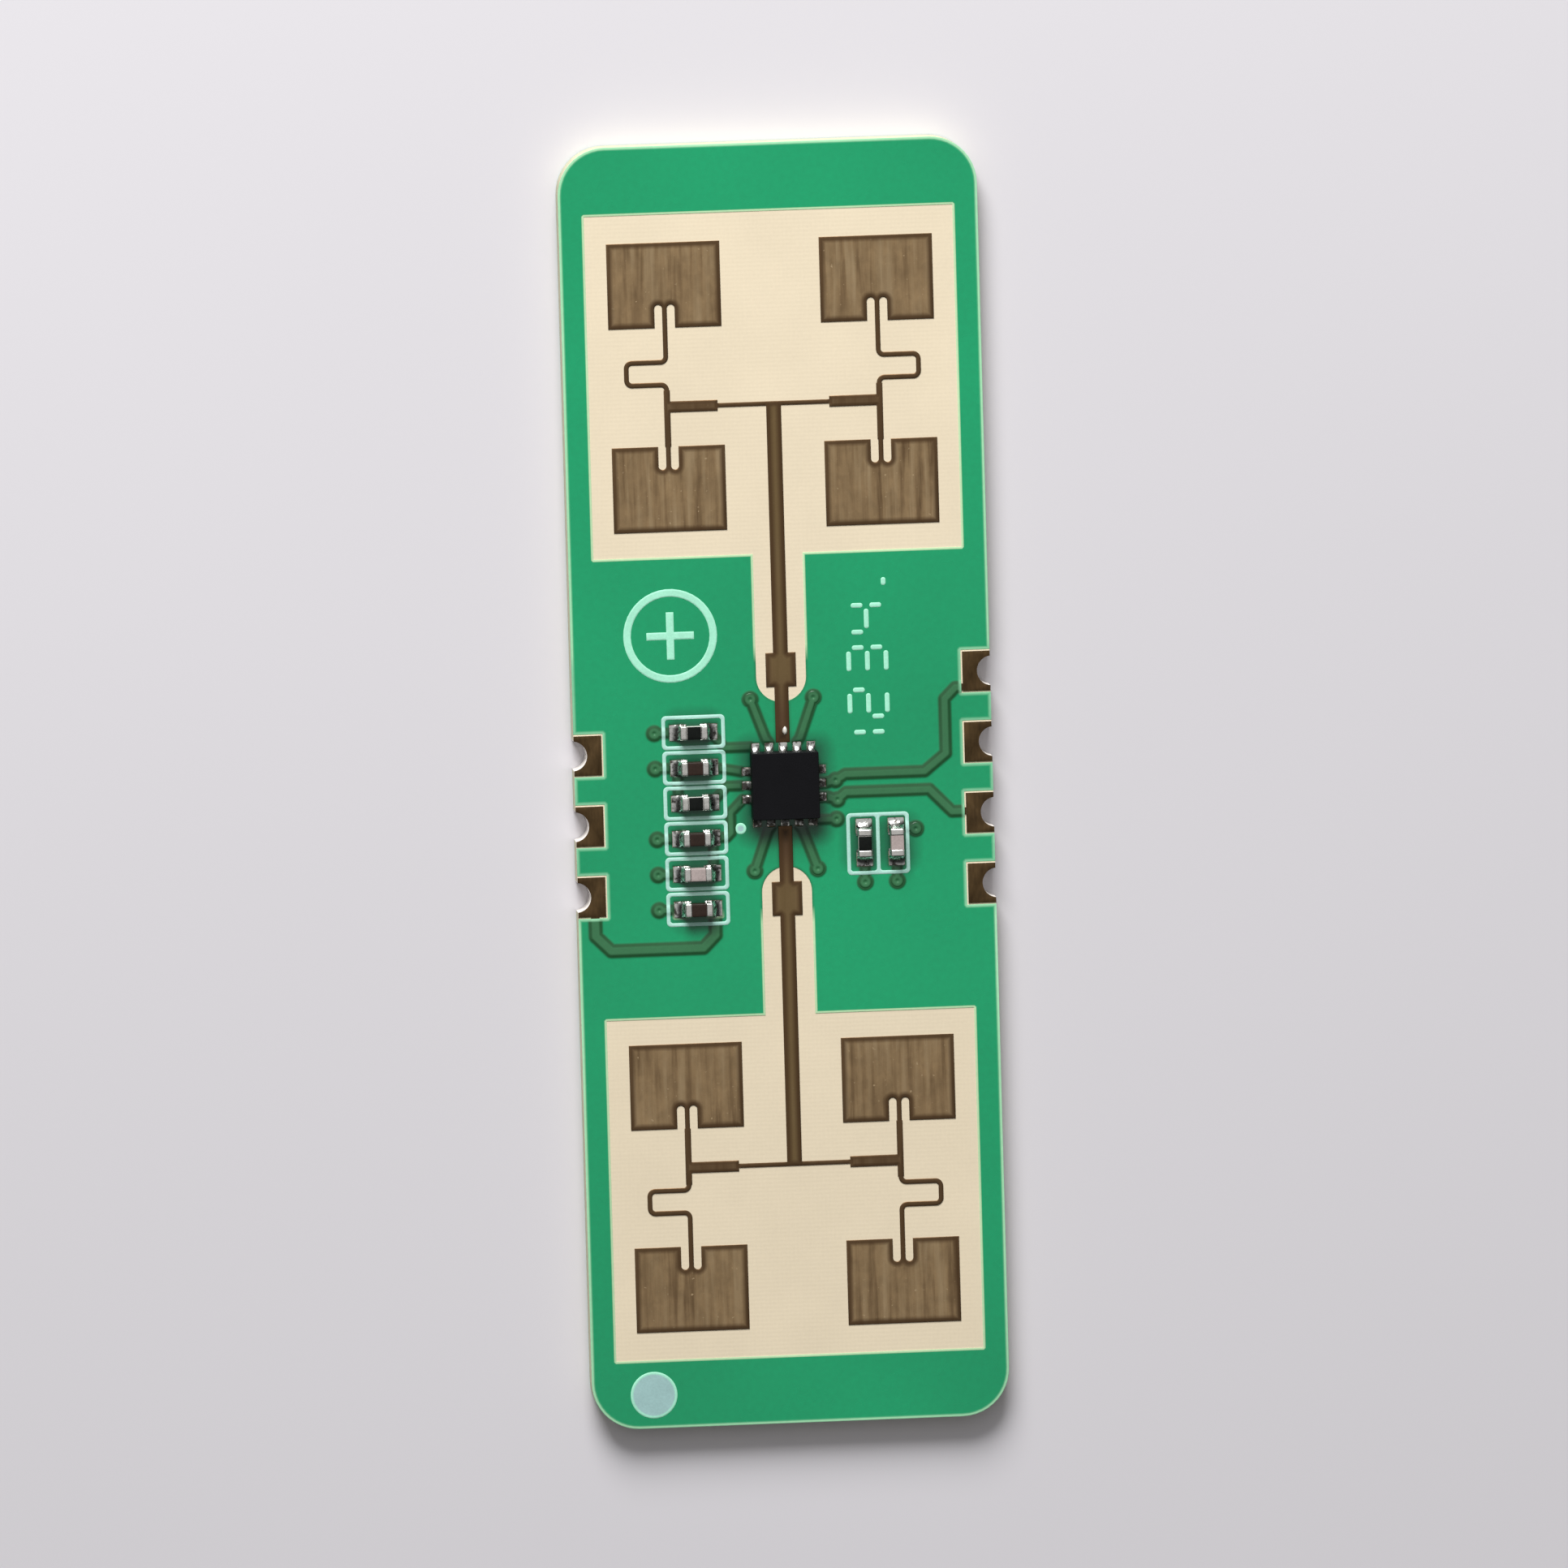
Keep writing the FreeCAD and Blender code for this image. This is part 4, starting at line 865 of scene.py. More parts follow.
def swell(corners, low, high, axis, amount):
    """Bulge the two ends of a block along the axis, most in their middle."""
    middle, half = (low + high) / 2, (high - low) / 2
    for corner in corners:
        share_of = [(corner[n] - middle[n]) / half[n] for n in range(3)]
        bulge = amount
        for other in range(3):
            if other != axis:
                bulge *= 1 - share_of[other] ** 2
        corner[axis] += bulge * share_of[axis]
    return corners


# The front and rear coats of mask

# What the mesh of a coat keeps to: so many lines down each shoulder, from a little inside it to a
# little outside, rings round each via's hollow and, round each part, lines at shares of the painted
# shadow's reach
SHOULDER_STEPS = 6
SHOULDER_MARGIN = 0.006
DIP_RINGS = (0.025, 0.055, 0.085, 0.12)
DIP_SIDES = 16
PAINTED_SHADOW_SHARES = (0.25, 0.6, 1.0)
# Where no copper lies under the rear mask, it is sunk by this share of its thickness
REAR_SINK = 0.85


@functools.cache
def via_places():
    """Return the middle of every via, in millimetres."""
    return [((low + high) / 2).xy for low, high in solid_boxes("plated_vias")]


@functools.cache
def part_boxes():
    """Return the lowest and highest corner of the chip and of each component, in millimetres.

    The chip's box is stretched downward, so that the painted shadow and flux beside it run further below
    the chip.
    """
    run = Vector((0, bpy.context.scene.radar_board.flux_and_shadow_run / MM, 0))
    low, high = node_box("chip_body")
    return [(low - run, high)] + [node_box(node) for node in nodes_ending("terminals")]


def part_distance(x, y):
    """Return how far a point lies from the nearest chip or component."""
    return min(math.hypot(max(low.x - x, x - high.x, 0.0), max(low.y - y, y - high.y, 0.0))
               for low, high in part_boxes())


class Coat:
    """The outer surface of the mask: level on laminate, raised on copper, soft in between."""

    def __init__(self, looks, domain, copper, bare_level, covered_level):
        self.looks = looks
        self.domain = domain
        outline = max(domain.loops, key=lambda loop: max(spot.x for spot in loop))
        self.board = Region(loop_sheet([outline]))
        self.copper = copper
        self.bare_level = bare_level
        self.covered_level = covered_level
        self.rise = covered_level - bare_level
        self.out = looks.shoulder_out / MM
        self.into = looks.shoulder_in / MM
        self.rim = looks.rim / MM
        self.shade = looks.opening_shade / MM

    def slope(self, x, y):
        """Return the height of the mask without its rims."""
        depth = self.copper.depth(x, y)
        return self.bare_level + self.rise * smooth((depth + self.out) / (self.out + self.into))

    def dip(self, x, y):
        """Return how far the mask sinks into the nearest via."""
        radius = self.looks.via_dip_radius / MM
        nearest = min((spot - Vector((x, y))).length for spot in via_places())
        return self.looks.via_dip / MM * math.exp(-((nearest / radius) ** 2))

    def height(self, x, y):
        """Return the height of the mask, with its thin rim at each opening."""
        edge = max(0.0, 1 - self.domain.depth(x, y) / self.rim) ** 2
        sink = self.looks.rim_drop / MM * edge + self.dip(x, y)
        return self.slope(x, y) - math.copysign(sink, self.rise)

    def lines(self):
        """Return the lines that the mesh has to keep to: slopes, rims and via hollows."""
        inner = self.into + SHOULDER_MARGIN
        span = self.out + self.into + 2 * SHOULDER_MARGIN
        lines = []
        for step in range(-1, SHOULDER_STEPS + 2):
            lines += self.copper.rings(inner - span * step / SHOULDER_STEPS)
        for depth in (0.35 * self.rim, 0.7 * self.rim, 1.05 * self.rim, self.shade, 1.3 * self.shade):
            lines += self.domain.rings(depth)
        lines += self.board.rings(self.looks.verge_highlight_width / MM)
        for spot in via_places():
            for radius in DIP_RINGS:
                ring = [spot + Vector((radius, 0)) @ Matrix.Rotation(math.tau * n / DIP_SIDES, 2)
                        for n in range(DIP_SIDES)]
                lines += list(zip(ring, ring[1:] + ring[:1]))
        return lines

    def painted_shadow_lines(self):
        """Return the lines round each part that the mesh keeps to where the mask carries painted shadow
        and flux.
        """
        lines = []
        for low, high in part_boxes():
            for share_of in PAINTED_SHADOW_SHARES:
                away = share_of * self.looks.painted_shadow_reach / MM
                reach = Vector((away, away, 0))
                ring = [Vector(spot) for spot in rounded_loop(low - reach, high + reach, away)]
                lines += list(zip(ring, ring[1:] + ring[:1]))
        return lines


@functools.cache
def front_coat():
    """Return the mask surface on the component side."""
    low = node_box("component_frames")[0].z
    high = node_box("front_solder_mask")[1].z
    domain = Region(level_sheet("front_solder_mask", (low, high)))
    copper = Region(level_sheet("front_solder_mask", (high,)))
    return Coat(bpy.context.scene.radar_board, domain, copper, low, high)


@functools.cache
def rear_coat():
    """Return the mask surface on the rear, sunk a little where no copper lies under it."""
    low = node_box("rear_solder_mask")[0].z
    foil = node_box("rear_ground_plane")[0].z
    domain = Region(level_sheet("rear_solder_mask", (low,)))
    copper = Region(level_sheet("rear_ground_plane", (foil,)))
    return Coat(bpy.context.scene.radar_board, domain, copper, foil * REAR_SINK, low)


def coat_piece(name, coat, inner_level, node, finish, with_painted_shadow=False):
    """Build one coat of mask as a closed layer."""
    lines = coat.lines() + (coat.painted_shadow_lines() if with_painted_shadow else [])
    points, faces = fill_region(coat.domain, lines)
    corners, faces = closed_shell(points, faces, coat.height, flat(inner_level))
    measures = {COPPER_DEPTH: coat.copper.depth, OPENING_DEPTH: coat.domain.depth,
                OUTLINE_DEPTH: coat.board.depth, PART_DISTANCE: part_distance}
    add_piece(name, make_mesh(name, corners, faces, finish, measures), [node], "solder_mask")


class RADAR_OT_mask_coats(bpy.types.Operator):
    """Lay the green mask over both faces, with soft shoulders along the copper"""

    bl_idname = "radar.mask_coats"
    bl_label = "Mask coats"

    def execute(self, context):
        looks = context.scene.radar_board
        coat = front_coat()
        finish = mask_finish("front_mask", looks, looks.covered, with_painted_shadow=True)
        inner = node_box("front_solder_mask")[0].z
        coat_piece("front_mask_coat", coat, inner, "front_solder_mask", finish, with_painted_shadow=True)
        coat = rear_coat()
        finish = mask_finish("rear_mask", looks, looks.plane)
        coat_piece("rear_mask_coat", coat, node_box("rear_solder_mask")[1].z, "rear_solder_mask", finish)
        return {"FINISHED"}


class RADAR_OT_board_layers(bpy.types.Operator):
    """Give the laminate, the bonding layer and the core their finishes"""

    bl_idname = "radar.board_layers"
    bl_label = "Board layers"

    def execute(self, context):
        looks = context.scene.radar_board
        dress(laminate_finish(looks), "rf_laminate")
        dress(fibre_finish(looks), "board_core", "bonding_layer")
        return {"FINISHED"}


class RADAR_OT_copper_foil(bpy.types.Operator):
    """Give the tracks, the planes and the vias their finish"""

    bl_idname = "radar.copper_foil"
    bl_label = "Copper foil"

    def execute(self, context):
        looks = context.scene.radar_copper
        foil = foil_finish("etched_foil", looks.foil)
        dress(foil, "inner_ground_plane", "rear_ground_plane", "plated_vias")
        dress(foil_finish("track_copper", looks.contact), "signal_tracks")
        return {"FINISHED"}


class RADAR_OT_antennas(bpy.types.Operator):
    """Etch both antennas, with soft edges and a darker outline"""

    bl_idname = "radar.antennas"
    bl_label = "Antennas"

    def execute(self, context):
        looks = context.scene.radar_copper
        finish = antenna_finish(looks)
        for node in ("transmit_antenna", "receive_antenna"):
            self.etch(node, looks, finish)
        return {"FINISHED"}

    def etch(self, node, looks, finish):
        """Build one antenna from the outline of its solid."""
        low, high = (corner.z for corner in node_box(node))
        region = Region(level_sheet(node, (high,)))
        rim, drop, outline = (size / MM for size in (looks.rim, looks.rim_drop, looks.outline_width))
        depths = (0.4 * rim, rim, 0.5 * outline, outline, 1.4 * outline)
        lines = [line for depth in depths for line in region.rings(depth)]
        points, faces = fill_region(region, lines)

        def top(x, y):
            return high - drop * max(0.0, 1 - region.depth(x, y) / rim) ** 2

        corners, faces = closed_shell(points, faces, top, flat(low))
        mesh = make_mesh(node + "_copper", corners, faces, finish, {EDGE_DEPTH: region.depth})
        add_piece(mesh.name, mesh, [node], "bare_copper")


class RADAR_OT_edge_contacts(bpy.types.Operator):
    """Round the edges of the seven plated half holes"""

    bl_idname = "radar.edge_contacts"
    bl_label = "Edge contacts"

    def execute(self, context):
        looks = context.scene.radar_copper
        finish = contact_finish(looks)
        for node in sorted(frame["nodes"]):
            if "edge_contact" in node:
                self.soften(node, looks.contact_edge, finish)
        return {"FINISHED"}

    def soften(self, node, edge_width, finish):
        """Copy one contact, join its seams and round its sharp edges."""
        shape = bmesh.new()
        shape.from_mesh(frame["nodes"][node].data)
        bmesh.ops.remove_doubles(shape, verts=shape.verts[:], dist=WELD * MM)
        bmesh.ops.dissolve_limit(shape, angle_limit=FLAT_ANGLE, verts=shape.verts[:], edges=shape.edges[:])
        sharp = [edge for edge in shape.edges if edge.is_manifold and edge.calc_face_angle() > SHARP_ANGLE]
        bmesh.ops.bevel(shape, geom=sharp, offset=edge_width, segments=3, profile=0.5, affect="EDGES",
                        clamp_overlap=True)
        mesh = bpy.data.meshes.new(node + "_plating")
        shape.to_mesh(mesh)
        shape.free()
        mesh.materials.append(finish)
        mesh.shade_smooth()
        mesh.set_sharp_from_angle(angle=SHARP_ANGLE)
        add_piece(mesh.name, mesh, [node], "bare_copper")


# The chip and the components

class RADAR_OT_radar_chip(bpy.types.Operator):
    """Give the chip's moulding, leads, die and wires their finishes"""

    bl_idname = "radar.radar_chip"
    bl_label = "Radar chip"

    def execute(self, context):
        looks = context.scene.radar_parts
        dress(mould_finish(looks), "chip_body")
        dress(metal_finish("tinned_lead", looks.tin, 0.34, 5.0, 0.004), "chip_leads", "chip_paddle")
        dress(metal_finish("polished_silicon", looks.silicon, 0.16, 3.0, 0.0005), "chip_die")
        dress(metal_finish("drawn_gold", looks.gold, 0.22, 12.0, 0.0005), "chip_bond_wires")
        return {"FINISHED"}


# Rounding of a resistor's glass, as a share of its thickness
GLASS_ROUNDING = 0.22


def long_axis(node):
    """Return 0 where a component lies along x, or 1 where it lies along y."""
    low, high = node_box(node)
    return 0 if high.x - low.x > high.y - low.y else 1


def end_caps(node, looks, finish):
    """Build the two dipped end caps of one component, rounded and a little swollen."""
    axis = long_axis(node)
    parts = []
    for low, high in solid_boxes(node):
        corners, faces = soft_block(low, high, looks.cap_rounding / MM)
        parts.append((swell(corners, low, high, axis, looks.cap_swell / MM), faces))
    name = node.replace("terminals", "end_caps")
    add_piece(name, make_mesh(name, *join_parts(parts), finish), [node], "terminal_tin")


def ceramic_block(node, looks, slot, finish):
    """Build one ceramic body with rounded edges."""
    low, high = node_box(node)
    corners, faces = soft_block(low, high, looks.body_rounding / MM)
    name = node + "_ceramic"
    add_piece(name, make_mesh(name, corners, faces, finish), [node], slot)


class RADAR_OT_resistors(bpy.types.Operator):
    """Build the resistors: alumina, domed glass and end caps"""

    bl_idname = "radar.resistors"
    bl_label = "Resistors"

    def execute(self, context):
        looks = context.scene.radar_parts
        alumina = ceramic_finish("white_alumina", looks.alumina, 0.5, 0.05)
        glass = glass_finish(looks)
        tin = metal_finish("resistor_tin", looks.tin, 0.26, 6.0, 0.008)
        for node in sorted(frame["nodes"]):
            if not node.startswith("resistor"):
                continue
            if node.endswith("substrate"):
                ceramic_block(node, looks, "resistor_ceramic", alumina)
            elif node.endswith("overcoat"):
                self.dome(node, looks, glass)
            else:
                end_caps(node, looks, tin)
        return {"FINISHED"}

    def dome(self, node, looks, finish):
        """Build the glass overcoat, highest along its middle."""
        low, high = node_box(node)
        crown = looks.coat_crown / MM
        corners, faces = soft_block(low, high, (high.z - low.z) * GLASS_ROUNDING)
        middle, half = (low + high) / 2, (high - low) / 2
        for corner in corners:
            across = ((corner.x - middle.x) / half.x) ** 2 + ((corner.y - middle.y) / half.y) ** 2
            if corner.z > middle.z:
                corner.z -= crown * across / 2
        name = node + "_glass"
        add_piece(name, make_mesh(name, corners, faces, finish), [node], "resistor_coat")


class RADAR_OT_capacitors(bpy.types.Operator):
    """Build the capacitors: ceramic bodies and end caps"""

    bl_idname = "radar.capacitors"
    bl_label = "Capacitors"

    def execute(self, context):
        looks = context.scene.radar_parts
        slots = {row["node"]: row["material_slot"] for row in frame["record"]["subparts"]}
        ceramics = {"capacitor_brown": ceramic_finish("brown_ceramic", looks.brown, 0.42, 0.16),
                    "capacitor_grey": ceramic_finish("grey_ceramic", looks.grey, 0.38, 0.12)}
        tin = metal_finish("capacitor_tin", looks.tin, 0.22, 5.0, 0.01)
        for node in sorted(frame["nodes"]):
            if node.startswith("capacitor") and node.endswith("body"):
                ceramic_block(node, looks, slots[node], ceramics[slots[node]])
            elif node.startswith("capacitor"):
                end_caps(node, looks, tin)
        return {"FINISHED"}


# Solder

# A fillet's mesh: steps out from the metal and columns across, how far it starts under the metal and
# how much further in its seat ends, in millimetres
FILLET_STEPS, FILLET_COLUMNS = 12, 11
FILLET_OVERLAP, SEAT_STEP = 0.02, 0.001
# A joint belongs to the chip's left or right side beyond this share of the chip's half width
SIDE_SHARE = 0.8
SOLDER_SEED = 7


def fillet_height(out, aside, height, lift, looks):
    """Return the solder's height at one point of a joint.

    Out is the share of the way from the metal to the end, less than 0 in the seat, and aside the
    share of the way to the side. The edge of the solder is thin, and its middle is crowned.
    """
    edge = looks.fillet_edge / MM
    if out < 0:
        return lift if abs(aside) < 0.9 else edge * 0.35
    crown = 1 - abs(aside) ** 3.5
    rise = (height - edge) * (1 - out) ** looks.fillet_power * (0.25 + 0.75 * crown)
    return rise + edge * (0.35 + 0.65 * crown * (1 - out ** 4))


def solder_fillet(box, looks, draw, lift, wetting):
    """Return one joint: a thin seat under the metal, and a hollow fillet that rises outside it.

    The box is the joint's own solid. The seat is its low part and the fillet the high one, on the
    side that faces away from the component. The solder runs out a little further, over the land.
    """
    low, high, axis, side, face = box
    across = 1 - axis
    out_end = high[axis] if side > 0 else low[axis]
    seat_end = low[axis] if side > 0 else high[axis]
    reach = abs(out_end - face) + wetting * draw.uniform(0.85, 1.1)
    height = (high.z - low.z) * draw.uniform(0.92, 1.08)
    half, middle = (high[across] - low[across]) / 2 + wetting, (low[across] + high[across]) / 2
    start = face - side * FILLET_OVERLAP
    rows = [(seat_end, -1.0), (face - side * (FILLET_OVERLAP + SEAT_STEP), -1.0)]
    rows += [(start + side * (reach + FILLET_OVERLAP) * step / FILLET_STEPS, step / FILLET_STEPS)
             for step in range(FILLET_STEPS + 1)]
    corners = []
    for along, out in rows:
        narrow = 1 - 0.08 * max(0.0, (out - 0.8) / 0.2) ** 2
        for column in range(FILLET_COLUMNS):
            aside = 2 * column / (FILLET_COLUMNS - 1) - 1
            spot = [0.0, 0.0]
            spot[axis], spot[across] = along, middle + aside * half * narrow
            corners.append((*spot, low.z + fillet_height(out, aside, height, lift, looks)))
    firsts = [row * FILLET_COLUMNS + column
              for row in range(len(rows) - 1) for column in range(FILLET_COLUMNS - 1)]
    upper = [(first, first + 1, first + FILLET_COLUMNS + 1, first + FILLET_COLUMNS) for first in firsts]
    faces = shell_faces(upper, len(corners))
    return corners + [(x, y, low.z) for x, y, _ in corners], faces


class RADAR_OT_solder_joints(bpy.types.Operator):
    """Flow the solder joints of the chip and the components, and the bead on the upper feed"""

    bl_idname = "radar.solder_joints"
    bl_label = "Solder joints"

    def execute(self, context):
        looks = context.scene.radar_parts
        finish = solder_finish("reflowed_solder", looks, looks.clean_solder)
        shaded_side_finish = solder_finish("fluxed_and_shaded_solder", looks, looks.shaded_side_solder)
        draw = random.Random(SOLDER_SEED)
        seat = node_box("chip_body")[0].z - node_box("chip_solder")[0].z
        self.chip_joints(looks, finish, shaded_side_finish, draw, seat)
        self.component_joints(looks, finish, draw, seat)
        self.feed_bead(metal_finish("bead_tin", looks.bead, 0.45, 6.0, 0.006, metallic=0.3))
        return {"FINISHED"}

    def chip_joints(self, looks, finish, shaded_side_finish, draw, seat):
        """Flow the chip's joints, bright along its upper side, with more dark flux at the other three as
        painted shade.
        """
        chip_low, chip_high = node_box("chip_body")
        parts = []
        for low, high in solid_boxes("chip_solder"):
            middle = (low + high) / 2
            if middle.xy.length < WELD:
                parts.append(soft_block(low, high, seat * 0.3, cuts=1))
                continue
            aside = abs(middle.x)
            axis = 0 if aside > abs(middle.y) and aside > chip_high.x * SIDE_SHARE else 1
            side = 1 if middle[axis] > 0 else -1
            face = (chip_high if side > 0 else chip_low)[axis]
            box = (low, high, axis, side, face)
            parts.append(solder_fillet(box, looks, draw, seat, looks.lead_wetting / MM))
        mesh = make_mesh("chip_fillets", *join_parts(parts), finish)
        # Painted shade: joints on the chip's three other sides take the darker copy
        mesh.materials.append(shaded_side_finish)
        for face in mesh.polygons:
            face.material_index = 0 if face.center.y / MM > chip_high.y else 1
        add_piece("chip_fillets", mesh, ["chip_solder"], "solder")

    def component_joints(self, looks, finish, draw, seat):
        """Flow one fillet at each end of every component."""
        caps = [(node, box) for node in nodes_ending("terminals") for box in solid_boxes(node)]
        parts = []
        for low, high in solid_boxes("part_solder"):
            middle = (low + high) / 2
            node, cap = min(caps, key=lambda item: ((item[1][0] + item[1][1]) / 2 - middle).length)
            axis = long_axis(node)
            centre = sum(node_box(node), Vector()) / 2
            side = 1 if middle[axis] > centre[axis] else -1
            face = cap[1][axis] if side > 0 else cap[0][axis]
            box = (low, high, axis, side, face)
            parts.append(solder_fillet(box, looks, draw, seat, looks.cap_wetting / MM))
        mesh = make_mesh("component_fillets", *join_parts(parts), finish)
        add_piece("component_fillets", mesh, ["part_solder"], "solder")

    def feed_bead(self, finish):
        """Build the small uneven bead of solder on the upper feed."""
        low, high = node_box("feed_solder_bead")
        middle, half = (low + high) / 2, (high - low) / 2
        rings, spokes = 8, 28
        points = [middle.xy]
        for ring in range(1, rings + 1):
            for spoke in range(spokes):
                turn = math.tau * spoke / spokes
                wobble = 1 - 0.05 * (1 + math.sin(3 * turn + 0.6))
                radius = ring / rings * wobble
                points.append(middle.xy + Vector((half.x * radius * math.cos(turn),
                                                  half.y * radius * math.sin(turn))))
        faces = [(0, 1 + spoke, 1 + (spoke + 1) % spokes) for spoke in range(spokes)]
        for ring in range(rings - 1):
            inner, outer = 1 + ring * spokes, 1 + (ring + 1) * spokes
            for spoke in range(spokes):
                after = (spoke + 1) % spokes
                faces.append((inner + spoke, outer + spoke, outer + after, inner + after))

        def dome(x, y):
            across = ((x - middle.x) / half.x) ** 2 + ((y - middle.y) / half.y) ** 2
            return low.z + (high.z - low.z) * max(0.15, 1 - across ** 2)

        corners, faces = closed_shell(points, faces, dome, flat(low.z))
        mesh = make_mesh("feed_bead", corners, faces, finish)
        add_piece("feed_bead", mesh, ["feed_solder_bead"], "solder")


# Printed legend

# Rounding of a digit's strokes in millimetres, and how thick the ink is at its edge and how far it
# reaches into the mask, as shares of its thickness
STROKE_ROUNDING = 0.08
INK_EDGE, INK_SINK = 0.25, 0.2


class RADAR_OT_legend(bpy.types.Operator):
    """Print the legend: frames, digits, ring mark and dots, laid over the mask"""

    bl_idname = "radar.legend"
    bl_label = "Printed legend"

    def execute(self, context):
        looks = context.scene.radar_board
        ink = ink_finish("legend_ink", looks, looks.ink, looks.ink)
        frame_ink = ink_finish("frame_ink", looks, looks.frame_ink, looks.frame_ink)
        coat = front_coat()
        low, high = (corner.z for corner in node_box("component_frames"))
        first = node_box("ring_mark")[1].z
        frames = Region(level_sheet("component_frames", (first, high)))
        self.print_ink("component_frames", frames, frame_ink, first - low, coat)
        dot = ink_finish("dot_ink", looks, looks.dot, looks.ink)
        for node, finish in (("ring_mark", ink), ("pin_one_dot", dot), ("corner_dot", dot)):
            self.print_ink(node, Region(level_sheet(node, (first,))), finish, first - low)
        strokes = [rounded_loop(*box, radius=STROKE_ROUNDING) for box in solid_boxes("code_field")]
        self.print_ink("code_field", Region(loop_sheet(strokes)), ink, first - low)
        return {"FINISHED"}

    def print_ink(self, node, region, finish, thickness, coat=None):
        """Lay the ink of one mark on the mask, with rounded edges."""
        looks = bpy.context.scene.radar_board
        rim, bright = looks.ink_rim / MM, looks.dot_rim / MM
        base = node_box(node)[0].z
        under = coat.slope if coat else flat(base)
        lines = [line for depth in (0.45 * rim, rim, 0.5 * bright, bright) for line in region.rings(depth)]
        if coat:
            lines += coat.lines()

        def top(x, y):
            return under(x, y) + thickness * (INK_EDGE + (1 - INK_EDGE) * smooth(region.depth(x, y) / rim))

        def bottom(x, y):
            return under(x, y) - thickness * INK_SINK

        points, faces = fill_region(region, lines)
        corners, faces = closed_shell(points, faces, top, bottom)
        mesh = make_mesh(node + "_ink", corners, faces, finish, {EDGE_DEPTH: region.depth})
        add_piece(mesh.name, mesh, [node], "legend_ink")


# The stage

# Half the floor's width and its height, in metres. Rays shorter than the last length pass through it
FLOOR_REACH, FLOOR_HEIGHT, NEAR_RAY = 3.0, -0.00001, 0.0001
# Brightness of the sky by how near a direction is to its brightest part, both from 0 to 1
SKY_LEVELS = ((0.0, 0.03), (0.7, 0.05), (0.86, 0.35), (0.95, 0.9), (1.0, 1.0))
# Width of the camera's sensor in millimetres, and the nearest and furthest that it sees, in metres
SENSOR_WIDTH = 36.0
CLIP_START, CLIP_END = 0.05, 20.0


def aim(item, place, target, up):
    """Stand a lamp or the camera at a place and point it at the target."""
    ahead = (target - place).normalized()
    right = ahead.cross(up).normalized()
    turned = Matrix((right, right.cross(ahead), -ahead)).transposed().to_4x4()
    item.matrix_world = Matrix.Translation(place) @ turned


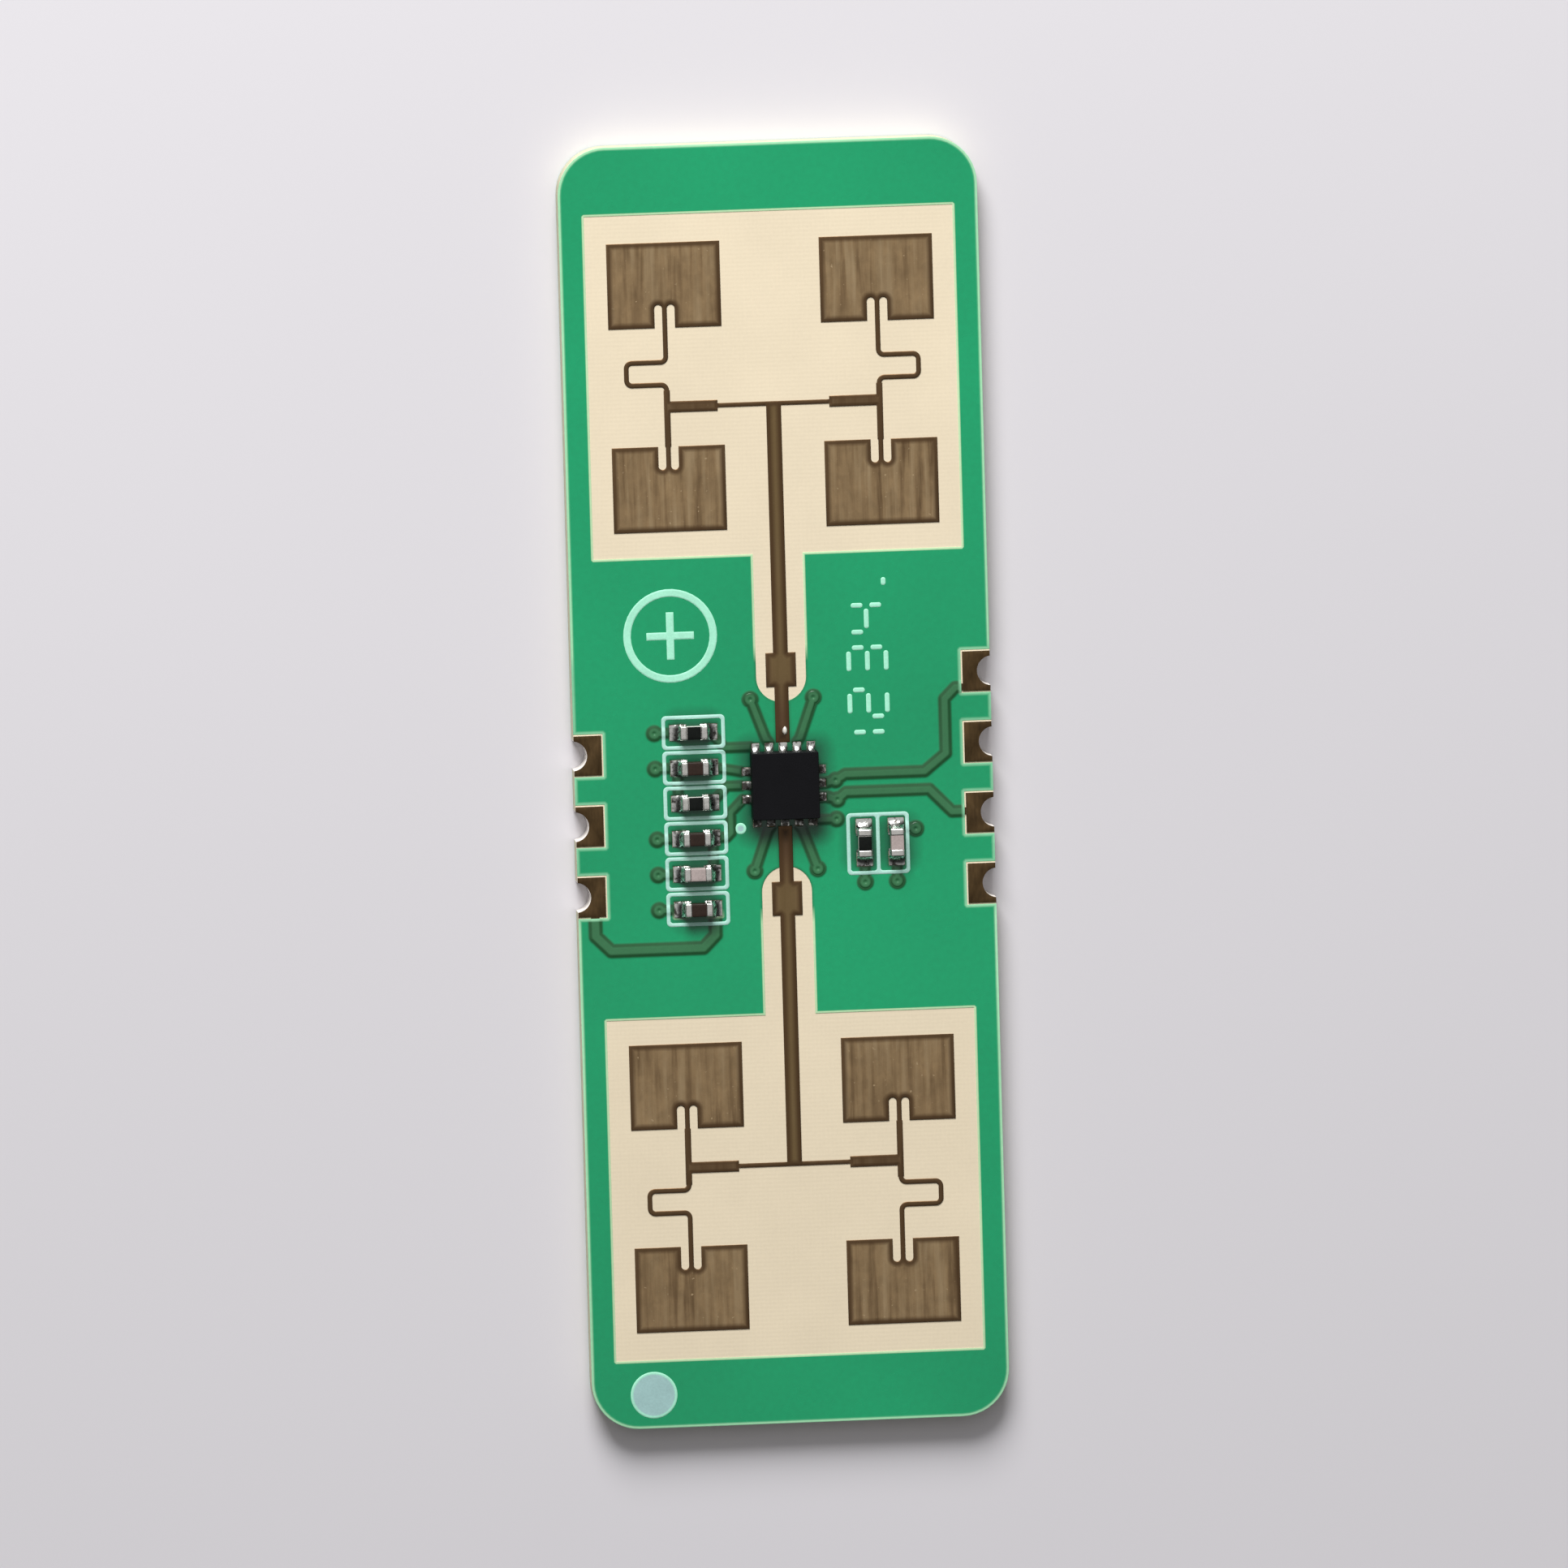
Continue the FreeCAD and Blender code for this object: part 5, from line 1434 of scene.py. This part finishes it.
class RADAR_OT_stage(bpy.types.Operator):
    """Set up the pale floor, the soft light and the camera"""

    bl_idname = "radar.stage"
    bl_label = "Stage"

    def execute(self, context):
        looks = context.scene.radar_stage
        self.floor(looks)
        self.sky(context.scene, looks)
        self.lamp(looks)
        self.camera(context.scene, looks)
        context.scene.view_settings.view_transform = "Standard"
        return {"FINISHED"}

    def floor(self, looks):
        """Lay a wide pale floor just under the board, which can be seen through from below."""
        mesh = bpy.data.meshes.new("floor")
        corners = [(x * FLOOR_REACH, y * FLOOR_REACH, FLOOR_HEIGHT)
                   for x, y in ((-1, -1), (1, -1), (1, 1), (-1, 1))]
        mesh.from_pydata(corners, [], [(0, 1, 2, 3)])
        finish = Finish("pale_floor", looks.floor, 0.8)
        finish.set("Base Color", finish.tint(looks.floor, finish.noise(0.02, detail=2.0), 0.01))
        clear = finish.node("ShaderNodeBsdfTransparent")
        blend = finish.node("ShaderNodeMixShader")
        below = finish.node("ShaderNodeNewGeometry").outputs["Backfacing"]
        ray = finish.node("ShaderNodeLightPath").outputs["Ray Length"]
        close = finish.math("LESS_THAN", ray, NEAR_RAY)
        finish.feed(blend.inputs[0], finish.math("MAXIMUM", below, close))
        finish.feed(blend.inputs[1], finish.shader.outputs[0])
        finish.feed(blend.inputs[2], clear.outputs[0])
        output = next(node for node in finish.tree.nodes if node.type == "OUTPUT_MATERIAL")
        finish.feed(output.inputs["Surface"], blend.outputs[0])
        mesh.materials.append(finish.material)
        floor = bpy.data.objects.new("floor", mesh)
        bpy.context.scene.collection.objects.link(floor)

    def sky(self, scene, looks):
        """Light the board from above, brightest beyond its far end, and its underside evenly."""
        world = bpy.data.worlds.new("sky")
        world.use_nodes = True
        scene.world = world
        nodes = Nodes(world.node_tree)
        place = nodes.node("ShaderNodeTexCoord").outputs["Generated"]
        towards = nodes.node("ShaderNodeVectorMath", operation="DOT_PRODUCT")
        nodes.feed(towards.inputs[0], place)
        nodes.feed(towards.inputs[1], self.direction(looks.sky_height, looks.key_turn))
        glow = nodes.ramp(nodes.remap(towards.outputs["Value"], -1.0, 1.0),
                          [(spot, (level,) * 3) for spot, level in SKY_LEVELS])
        below = nodes.math("LESS_THAN", nodes.part("Z", place), 0.0)
        background = world.node_tree.nodes["Background"]
        nodes.feed(background.inputs["Color"], nodes.mix(below, glow, (looks.below,) * 3))
        nodes.feed(background.inputs["Strength"], looks.sky)

    def direction(self, height, turn):
        """Return the direction that stands so high, turned so far left from the board's far end."""
        level = math.cos(height)
        return Vector((-level * math.sin(turn), level * math.cos(turn), math.sin(height)))

    def lamp(self, looks):
        """Hang one large soft lamp beyond the board's far end, a little to the left."""
        data = bpy.data.lights.new("key", "AREA")
        data.shape = "DISK"
        data.size = looks.key_size
        data.energy = looks.key_power
        lamp = bpy.data.objects.new("key", data)
        bpy.context.scene.collection.objects.link(lamp)
        place = self.direction(looks.key_height, looks.key_turn) * looks.key_distance
        aim(lamp, place, Vector(), Vector((0, 0, 1)))

    def camera(self, scene, looks):
        """Look down on the component side as the photograph does."""
        data = bpy.data.cameras.new("camera")
        data.sensor_width = SENSOR_WIDTH
        data.lens = data.sensor_width * looks.view_distance / looks.frame_height
        data.clip_start, data.clip_end = CLIP_START, CLIP_END
        camera = bpy.data.objects.new("camera", data)
        scene.collection.objects.link(camera)
        towards = Vector((-math.tan(looks.view_left), math.tan(looks.view_forward), 1.0)).normalized()
        up = Vector((math.sin(looks.view_roll), math.cos(looks.view_roll), 0.0))
        target = Vector((0, 0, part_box("rf_laminate")[1].z))
        aim(camera, target + towards * looks.view_distance, target, up)
        scene.camera = camera


class RADAR_PT_module(bpy.types.Panel):
    """Lists the pieces of the module, with their sizes and colours"""

    bl_idname = "RADAR_PT_module"
    bl_label = "Radar module"
    bl_space_type = "VIEW_3D"
    bl_region_type = "UI"
    bl_category = "Radar module"

    def draw(self, context):
        for name, operators in BUILD_ORDER.items():
            box = self.layout.box()
            for operator in operators:
                box.operator(operator.bl_idname)
            looks = getattr(context.scene, name)
            for field in type(looks).__annotations__:
                box.prop(looks, field)


SETTINGS = {
    "radar_board": RadarBoardLooks,
    "radar_copper": RadarCopperLooks,
    "radar_parts": RadarPartLooks,
    "radar_stage": RadarStageLooks,
}
BUILD_ORDER = {
    "radar_board": [RADAR_OT_board_layers, RADAR_OT_mask_coats, RADAR_OT_legend],
    "radar_copper": [RADAR_OT_copper_foil, RADAR_OT_antennas, RADAR_OT_edge_contacts],
    "radar_parts": [RADAR_OT_radar_chip, RADAR_OT_resistors, RADAR_OT_capacitors, RADAR_OT_solder_joints],
    "radar_stage": [RADAR_OT_stage],
}
OPERATORS = [operator for operators in BUILD_ORDER.values() for operator in operators]


def register():
    """Add the settings, the operators and the panel."""
    for name, group in SETTINGS.items():
        bpy.utils.register_class(group)
        setattr(bpy.types.Scene, name, PointerProperty(type=group))
    for item in OPERATORS + [RADAR_PT_module]:
        bpy.utils.register_class(item)


def unregister():
    """Take the panel, the operators and the settings away again."""
    for item in [RADAR_PT_module] + OPERATORS[::-1]:
        bpy.utils.unregister_class(item)
    for name, group in SETTINGS.items():
        delattr(bpy.types.Scene, name)
        bpy.utils.unregister_class(group)


def main():
    """Build every piece in order."""
    register()
    for operator in OPERATORS:
        group, name = operator.bl_idname.split(".")
        getattr(getattr(bpy.ops, group), name)()


if __name__ == "__main__":
    main()
